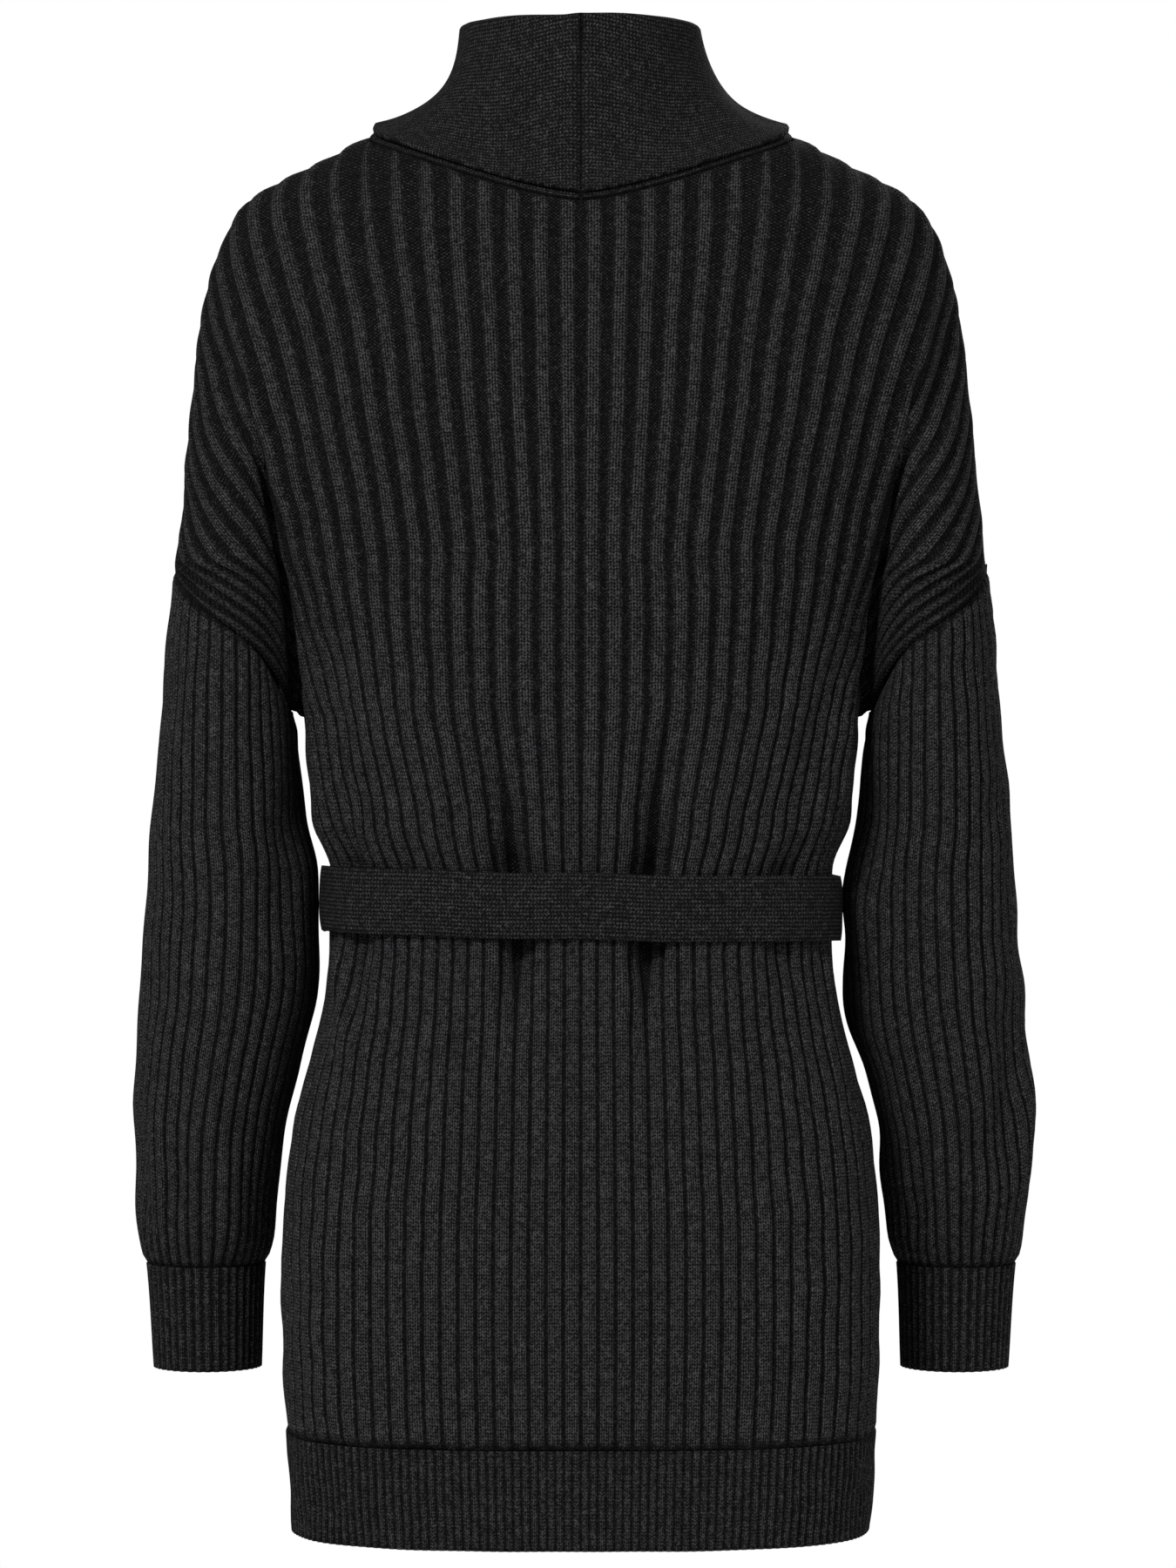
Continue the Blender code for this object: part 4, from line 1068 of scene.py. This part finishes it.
def sleeve(name, side):
    ribs = rib_columns(0, SLEEVE_RIBS, RIB_COLUMNS)
    points, angle = sleeve_base(side, ribs / SLEEVE_RIBS)
    normal = ring_normals(points, away_from_arm(side)(points))
    z = points[..., 2]
    sink = uneven(angle * ARM_RADIUS, z, "sleeve", 3 + side)
    sink = creased(sink, SLEEVE_CREASES, side, angle * ARM_RADIUS, z, ARM_RADIUS)
    by_body = eased((-np.cos(angle) - 0.5) / 0.4) * eased((z - NESTLE_END) / 0.04)
    down = distance_down(points) - TUCK_LENGTH
    fade = eased(down / 0.03) * eased((z - CUFF_TOP) / 0.010)
    sink = sink * fade - NESTLE * by_body * eased(down / 0.012)
    close_ring(sink)
    points = points - normal * sink[..., None]
    close_ring(points)
    relief, stitches = rib_shape(ribs, points, WIDE_RIB)
    down = distance_down(points) - TUCK_LENGTH
    close_ring(relief, down)
    relief = relief * eased(ARMHOLE_RELIEF + down / SEAM_FADE)
    relief = relief * eased(SEAM_RELIEF + (z - CUFF_TOP) / CUFF_FADE)
    flattened = 1 - FLATTENED * by_body
    close_ring(normal, flattened)
    outer = points + normal * (WIDE_RIB["rise"] * relief * flattened)[..., None]
    mesh = cloth_layer(name + "_knit", outer, stitches, down, relief, away_from_arm(side), closed=True)
    piece = finish_piece(name + "_knit", mesh, RIB_KNIT, name)


def cuff(name, side):
    ribs = rib_columns(0, CUFF_RIBS, FINE_COLUMNS)
    heights = np.linspace(CUFF_TOP - SEAM_GAP, CUFF_END, 15)
    points = np.array([ring(z, side, ribs / CUFF_RIBS)[1] for z in heights])
    close_ring(points)
    normal = ring_normals(points, away_from_arm(side)(points))
    relief, stitches = rib_shape(ribs, points, FINE_RIB)
    close_ring(relief)
    outer = points + normal * (FINE_RIB["rise"] * relief)[..., None]
    mesh = cloth_layer(name + "_knit", outer, stitches, -points[..., 2], relief, away_from_arm(side),
                       closed=True)
    piece = finish_piece(name + "_knit", mesh, RIB_KNIT, name)


for side, word in ((1, "left"), (-1, "right")):
    sleeve("sleeve_" + word, side)
    cuff("cuff_" + word, side)

# %% [markdown]
# ## Shawl collar
#
# The collar is a flat knit turned sideways, so that its rows run round the neck.  Its two halves
# meet in a seam at the centre back.  It stands up from the neckline, folds over softly and falls
# back over the seam, and down the front it narrows and lies flat as the front band.  It is drawn
# from the line of the fold: one curve goes from there down to the neckline, and another falls back.

# %% Collar tables
COLLAR_CLOTH = 0.0024
FOLD_RADIUS = 0.0023
BAND_WIDTH = 0.050
# Ribs from the shoulder end (less than 0 at the back), fold's x, y and z, width that falls, fold 1 or flat 0
COLLAR = (
    (-8.5, 0.0000, 0.0600, 0.0690, 0.093, 1.0),
    (-6.0, 0.0260, 0.0550, 0.0692, 0.091, 1.0),
    (-3.0, 0.0500, 0.0350, 0.0695, 0.086, 1.0),
    (0.0, 0.0635, 0.0000, 0.0690, 0.088, 1.0),
    (1.0, 0.0635, -0.0300, 0.0440, 0.086, 1.0),
    (2.0, 0.0600, -0.0580, 0.0060, 0.080, 1.0),
    (3.0, 0.0500, -0.0830, -0.0400, 0.064, 1.0),
    (4.0, 0.0350, -0.1000, -0.0850, 0.040, 1.0),
    (5.0, 0.0170, -0.1100, -0.1300, 0.016, 0.35),
    (6.0, -0.0040, -0.1150, -0.1720, 0.012, 0.0),
    (8.0, -0.0365, -0.1180, -0.2550, 0.012, 0.0),
    (10.5, -0.0620, -0.1180, -0.3600, 0.010, 0.0),
)
COLLAR_CLOSE_STEPS = 11
BAND_ROWS = (3, 6, 9)
REVEAL = 0.0095
SHOULDER_REVEAL = 0.003
CORNER_GAP = 0.0011
BEHIND_PANEL = 0.0005
# Rib from which the stand leans over and then the fold comes down onto the chest, and over how many
LEAN_FROM = 1.0
LEAN_RIBS = 2.0
CHEST_FROM = 2.0
CHEST_RIBS = 1.5
# Control point of the curve from the neckline to the fold: share of the rise, share of the way across
STAND_RISE = 0.17
STAND_TO_FOLD = 0.9
# Columns of the flat knit, which lie sideways here, also drawn coarser so that they show
WALE = 0.0044

# %% Seam between collar and body


def seam_point(rib, z, face, side):
    """A point of a panel's edge and its normal."""
    point = surface(rib * side, z, face)
    point[1] += face * (lap(rib, z, side if face < 0 else 1) + SEAM_GAP / 2)
    normal = surface_normals(rib * side, z, face)
    if abs(rib) >= NECK_RIBS:
        normal[1] = 0
    return point, unit(normal)


def collar_seam(side):
    """Places, points and normals of the seam from the centre back round the neck and down to the hem."""
    stations = []
    for step in range(int(NECK_RIBS * 2)):
        rib = step / 2
        stations.append((rib - NECK_RIBS, *seam_point(rib, float(top_height(rib, 1)), 1, side)))
    across = int((NECK_RIBS + LAP_RIBS) * 2)
    for step in range(across + 1):
        if COLLAR_CLOSE_STEPS < step < across and step % 2:
            continue
        rib = NECK_RIBS - step / 2
        stations.append((step / 2, *seam_point(rib, float(top_height(rib, -1)), -1, side)))
    end = NECK_RIBS + LAP_RIBS
    upper = [LAP_TOP + (BELT_TOP_ROW - LAP_TOP) * (row / UPPER_SPANS) ** ROW_POWER for row in BAND_ROWS]
    for z in upper + list(LOWER_ROWS) + [HEM_END]:
        stations.append((end, *seam_point(-LAP_RIBS, z, -1, side)))
    return [np.array(column) for column in zip(*stations)]


def grid_normals(points):
    return unit(np.cross(np.gradient(points, axis=1), np.gradient(points, axis=0)))


# %% Collar form
STAND_STEPS = 14
FOLD_STEPS = 6
FALL_STEPS = 34
STATION_STEPS = 5


def between_stations(grid, steps):
    """More columns between the stations of a grid, on a smooth curve through them."""
    count = grid.shape[1]
    place = np.linspace(0, count - 1, (count - 1) * steps + 1)
    i = np.clip(place.astype(int), 0, count - 2)
    t = (place - i)[None, :, None]
    before, here = grid[:, np.maximum(i - 1, 0)], grid[:, i]
    after, beyond = grid[:, i + 1], grid[:, np.minimum(i + 2, count - 1)]
    return 0.5 * (2 * here + (after - before) * t + (2 * before - 5 * here + 4 * after - beyond) * t**2
                  + (3 * here - before - 3 * after + beyond) * t**3)


def collar_rows(side):
    """Rows of the collar's middle layer from the neckline over the fold to the free edge."""
    ribs, seam, seam_normal = collar_seam(side)
    stations = len(ribs)
    inward = unit(np.cross(seam_normal, np.gradient(seam, axis=0)))
    flat = np.array([-side, 0.0, 0.0])
    toward = np.where((ribs < 0.1)[:, None], np.array([0, 0, 1.0]), flat)
    inward = facing(inward, toward)
    corner = np.exp(-ribs**2) + (ribs > NECK_RIBS + LAP_RIBS - 0.6)
    start = seam + inward * (SEWN_EDGE + CORNER_GAP * corner)[:, None] - seam_normal * BEHIND_PANEL

    below = ribs > NECK_RIBS + LAP_RIBS - 0.1
    fall = read(COLLAR, 4, ribs)
    bend = math.pi * read(COLLAR, 5, ribs)
    edge = np.stack([read(COLLAR, k, ribs) for k in (1, 2, 3)], -1)
    edge[:, 0] *= side
    edge[below, 0] = seam[below, 0] - side * (BAND_WIDTH - fall[below])
    edge[below, 2] = seam[below, 2]
    chest = -depth_at(edge[:, 0], edge[:, 2], -1) - lap(0, edge[:, 2], side)
    onto_chest = eased((ribs - CHEST_FROM) / CHEST_RIBS)
    edge[:, 1] = edge[:, 1] * (1 - onto_chest) + chest * onto_chest

    standing = 1 - eased((ribs - LEAN_FROM) / LEAN_RIBS)
    low = start + (edge - start) * 0.5
    low[:, 1] = low[:, 1] * standing + (1 - standing) * (
        -depth_at(low[:, 0], low[:, 2], -1) - lap(0, low[:, 2], side))
    upright = edge * STAND_TO_FOLD + start * (1 - STAND_TO_FOLD)
    upright[:, 2] = start[:, 2] + STAND_RISE * (edge[:, 2] - start[:, 2])
    control = low * (1 - standing)[:, None] + upright * standing[:, None]

    def stand_at(t):
        """Points from the fold (0) to the seam (1), and past it over the front panel."""
        t = np.broadcast_to(np.asarray(t, float), stations)[:, None]
        inside = np.clip(t, 0, 1)
        curve = edge * (1 - inside) ** 2 + 2 * control * inside * (1 - inside) + start * inside**2
        out = curve - inward * (np.maximum(t - 1, 0) * np.linalg.norm(start - edge, axis=1)[:, None])
        passed = (t[:, 0] > 1) & (ribs > 0)
        if passed.any():
            on = lap(np.full(passed.sum(), NECK_RIBS), out[passed, 2], side)
            out[passed, 1] = -depth_at(out[passed, 0], out[passed, 2], -1) - on - BEHIND_PANEL
        return out

    curve = np.array([stand_at(t) for t in np.linspace(0, 1, 9)])
    length = np.linalg.norm(np.diff(curve, axis=0), axis=2).sum(axis=0)
    reveal = np.interp(ribs, (-NECK_RIBS, 0), (REVEAL, SHOULDER_REVEAL))
    fall = np.where(ribs < 0.1, length - reveal + math.pi * FOLD_RADIUS, fall)
    marks = (0.0, 0.30, 0.62, 1.0)
    grid = np.array([stand_at(t) for t in marks])
    guide = np.stack([grid[..., 0] * np.where(ribs > 1.5, 0, 1), grid[..., 1],
                      np.full(grid.shape[:2], 0.01)], -1)
    normal = facing(grid_normals(grid), guide)
    normal[-1] = seam_normal
    along = unit(grid[0] - grid[1])

    def normal_at(share):
        place = np.interp(share, marks, range(len(marks)))
        row = np.minimum(place.astype(int), len(marks) - 2)
        f = (place - row)[:, None]
        station = np.arange(stations)
        return unit(normal[row, station] * (1 - f) + normal[row + 1, station] * f)

    def turned(distance):
        """Points past the fold at a distance measured over the cloth."""
        arc = np.minimum(distance / FOLD_RADIUS, math.pi)[:, None]
        share = np.maximum(distance - math.pi * FOLD_RADIUS, 0) / length
        here = normal_at(share)
        over = stand_at(share) + here * FOLD_RADIUS * (1 - np.cos(arc)) + along * FOLD_RADIUS * np.sin(arc)
        mix = ((1 - np.cos(bend)) / 2)[:, None]
        lift = (np.sin(bend) * distance)[:, None]
        return over * mix + (edge + along * distance[:, None]) * (1 - mix) + here * lift

    half_round = FOLD_RADIUS * math.pi
    rows = [stand_at(t) for t in np.linspace(1, 0, STAND_STEPS)]
    rows += [turned(np.full(stations, half_round * k / FOLD_STEPS)) for k in range(1, FOLD_STEPS)]
    rows += [turned(half_round + (fall - half_round) * t) for t in np.linspace(0, 1, FALL_STEPS)]
    rows = np.array(rows)
    rows[:, 0, 0] = 0
    return between_stations(rows, STATION_STEPS)


# %% Collar pieces
SEAM_GROOVE = 0.0032
SEAM_REACH = 0.0045
SEAM_SHADE = 0.0030


def along_rows(points):
    step = np.linalg.norm(np.diff(points, axis=1), axis=2)
    return np.concatenate([np.zeros((len(points), 1)), np.cumsum(step, axis=1)], axis=1)


def collar(name, side):
    points = collar_rows(side)
    down = distance_down(points)
    along = along_rows(points)
    lie = uneven(along, down, "collar", 7 + side)
    normal = grid_normals(points)
    lie = lie * eased(down / 0.02) * eased(along / 0.01)
    outer_face = np.sign(normal[-1, 0, 1])
    past_fold = (np.arange(len(points)) - STAND_STEPS - FOLD_STEPS)[:, None]
    groove = SEAM_GROOVE * (1 - eased(along / SEAM_REACH)) * eased(past_fold / 4)
    shown = points + normal * (lie - outer_face * groove)[..., None]
    shown[:, 0, 0] = 0
    # Painted shade: the relief falls to 0 at the centre back seam, so the flat knit's colour is painted
    # darker along it
    relief = eased(along / SEAM_SHADE)

    def outward(centres):
        return centres * np.array([1, 1, 0]) * -1

    mesh = cloth_layer(name + "_knit", shown, down / WALE, along, relief, outward)
    piece = finish_piece(name + "_knit", mesh, FLAT_KNIT, name, COLLAR_CLOTH, 0.0)


for side, word in ((1, "left"), (-1, "right")):
    collar("collar_" + word, side)

# %% [markdown]
# ## Belt
#
# The belt is a long flat knit strip that goes round the waist, a little lower at the left, and is
# tied at the front in one knot.  Its two ends hang down over the fronts.  The belt is a band with
# a soft crown; the knot is a cube that is subdivided, rounded and folded.

# %% Belt round the waist
BELT_WIDTH = 0.037
BELT_CLOTH = 0.0034
BELT_WALL = 0.0022
BELT_EDGE = 0.6
BELT_OVER_GATHERS = 0.001
BELT_SLOPE = 0.020
BELT_EASE = 0.0022
BELT_COLUMNS = 420
BELT_ROWS = 15


def belt_section(angle, z):
    """Point of the belt's inner face at an angle round the waist."""
    sine, cosine = np.sin(angle), np.cos(angle)
    half = torso_half(BELT_TOP_ROW) + RIB_RISE + BELT_EASE
    back = torso_depth(BELT_TOP_ROW, 1) + RIB_RISE + BELT_EASE + BELT_OVER_GATHERS
    front = torso_depth(BELT_TOP_ROW, -1) + RIB_RISE + BELT_EASE + LAP_RISE
    power = 2 / read(FOLD_SHAPE, 1, BELT_TOP_ROW)
    x = half * np.sign(cosine) * np.abs(cosine) ** power
    y = np.where(sine > 0, back, front) * np.sign(sine) * np.abs(sine) ** power
    return np.stack([x, y, z + BELT_SLOPE * x], -1)


def belt_crown(share):
    """Thickness of the band across its width, from BELT_EDGE at its edges to 1 in the middle."""
    return BELT_EDGE + (1 - BELT_EDGE) * (1 - (2 * np.abs(share)) ** 3)


def belt():
    fine = np.linspace(0, 2 * math.pi, 1441)
    path = belt_section(fine, np.zeros(len(fine)))
    along = np.concatenate([[0], np.cumsum(np.linalg.norm(np.diff(path, axis=0), axis=1))])
    place = np.linspace(0, along[-1], BELT_COLUMNS + 1)
    angle = np.interp(place, along, fine)
    share = np.linspace(0.5, -0.5, BELT_ROWS)
    wave = uneven(place, place * 0, "belt_run", 20)
    wave[-1] = wave[0]
    rows = np.array([belt_section(angle, BELT + BELT_WIDTH * s + wave) for s in share])
    close_ring(rows)
    normal = ring_normals(rows, outwards(rows))
    lie = uneven(place[None, :], share[:, None] * BELT_WIDTH, "belt", 21)
    close_ring(lie)
    outer = rows + normal * (BELT_CLOTH * belt_crown(share)[:, None] + lie)[..., None]
    stitches = np.repeat((0.5 - share)[:, None] * BELT_WIDTH / WALE, BELT_COLUMNS + 1, axis=1)
    length = np.repeat(place[None, :], BELT_ROWS, axis=0)
    mesh = cloth_layer("belt_knit", outer, stitches, length, np.ones(length.shape), outwards, closed=True)
    piece = finish_piece("belt_knit", mesh, FLAT_KNIT, "belt", BELT_WALL)
    return float(-outer[..., 1].min())


belt_front = belt()
print("belt reaches", round(belt_front * 1000), "mm in front of the middle")

# %% Knot and ends
KNOT_SIZE = (0.046, 0.022, 0.050)
TAIL_LENGTH = 0.300
TAIL_WIDTH = 0.036
TAIL_CENTRE = 0.020
TAIL_TUCK = 0.0022
TAIL_LEAN = 0.018
TAIL_CLEAR = 0.004
TAIL_OFF_BELT = 0.001
KNOT_ROUNDNESS = 3.5
KNOT_FOLDS = (
    ((-0.030, 0.016), (0.026, 0.022), 0.0022, 0.0022),
    ((-0.028, 0.002), (0.030, 0.010), 0.0026, 0.0024),
    ((-0.030, -0.012), (0.028, -0.004), 0.0024, 0.0022),
    ((-0.006, -0.030), (0.004, -0.010), 0.0030, 0.0024),
)


def knot():
    bm = bmesh.new()
    bmesh.ops.create_cube(bm, size=1)
    bmesh.ops.subdivide_edges(bm, edges=bm.edges, cuts=31, use_grid_fill=True)
    mesh = mesh_from(bm, "belt_knot_knit")
    shape = vectors_of(mesh.vertices, "co")
    length = (np.abs(shape * 2) ** KNOT_ROUNDNESS).sum(axis=1, keepdims=True) ** (1 / KNOT_ROUNDNESS)
    place = shape / length * np.array(KNOT_SIZE)
    sink = np.zeros(len(place))
    for start, end, depth, wide in KNOT_FOLDS:
        sink = sink + fold(place[:, 0], place[:, 2], start, end, depth, wide)
    place[:, 1] += np.clip(-place[:, 1] / (KNOT_SIZE[1] / 2), 0, 1) * sink
    centre = np.array([0, -belt_front - SEAM_GAP - KNOT_SIZE[1] / 2, BELT])
    mesh.vertices.foreach_set("co", (place + centre).ravel())
    mesh.uv_layers.new(name=UV)
    write_stitches(mesh, place[:, 2] / WALE, place[:, 0], np.ones(len(place)))
    mesh.shade_smooth()
    piece = finish_piece("belt_knot_knit", mesh, FLAT_KNIT, "belt_knot", thickness=None)


def belt_end(name, side):
    """One end of the belt, hanging from the knot."""
    share = np.linspace(0, 1, 90)[:, None]
    across = np.linspace(-0.5, 0.5, 15)[None, :]
    z = BELT - KNOT_SIZE[2] / 2 + TAIL_TUCK - TAIL_LENGTH * share
    lean = side * (TAIL_CENTRE + TAIL_LEAN * share)
    x = lean + across * TAIL_WIDTH
    height = np.repeat(z, across.shape[1], axis=1)
    on_cloth = depth_at(x, height, -1) + RIB_RISE + LAP_RISE + TAIL_CLEAR
    out = np.maximum(np.maximum.accumulate(on_cloth, axis=0), belt_front + TAIL_OFF_BELT)
    out[:] = out.max(axis=1, keepdims=True)
    lie = uneven(x, height, "belt_end", 30 + side) * eased(share / 0.2)
    y = -out - BELT_CLOTH * belt_crown(across) - lie
    points = np.stack([x, y, height], -1)
    stitches = np.repeat((across + 0.5) * TAIL_WIDTH / WALE, len(share), axis=0)

    def outward(centres):
        return centres * 0 + np.array([0, -1.0, 0])

    mesh = cloth_layer(name + "_knit", points, stitches, -height, np.ones(height.shape), outward)
    piece = finish_piece(name + "_knit", mesh, FLAT_KNIT, name, BELT_WALL)


knot()
for side, word in ((1, "left"), (-1, "right")):
    belt_end("belt_end_" + word, side)
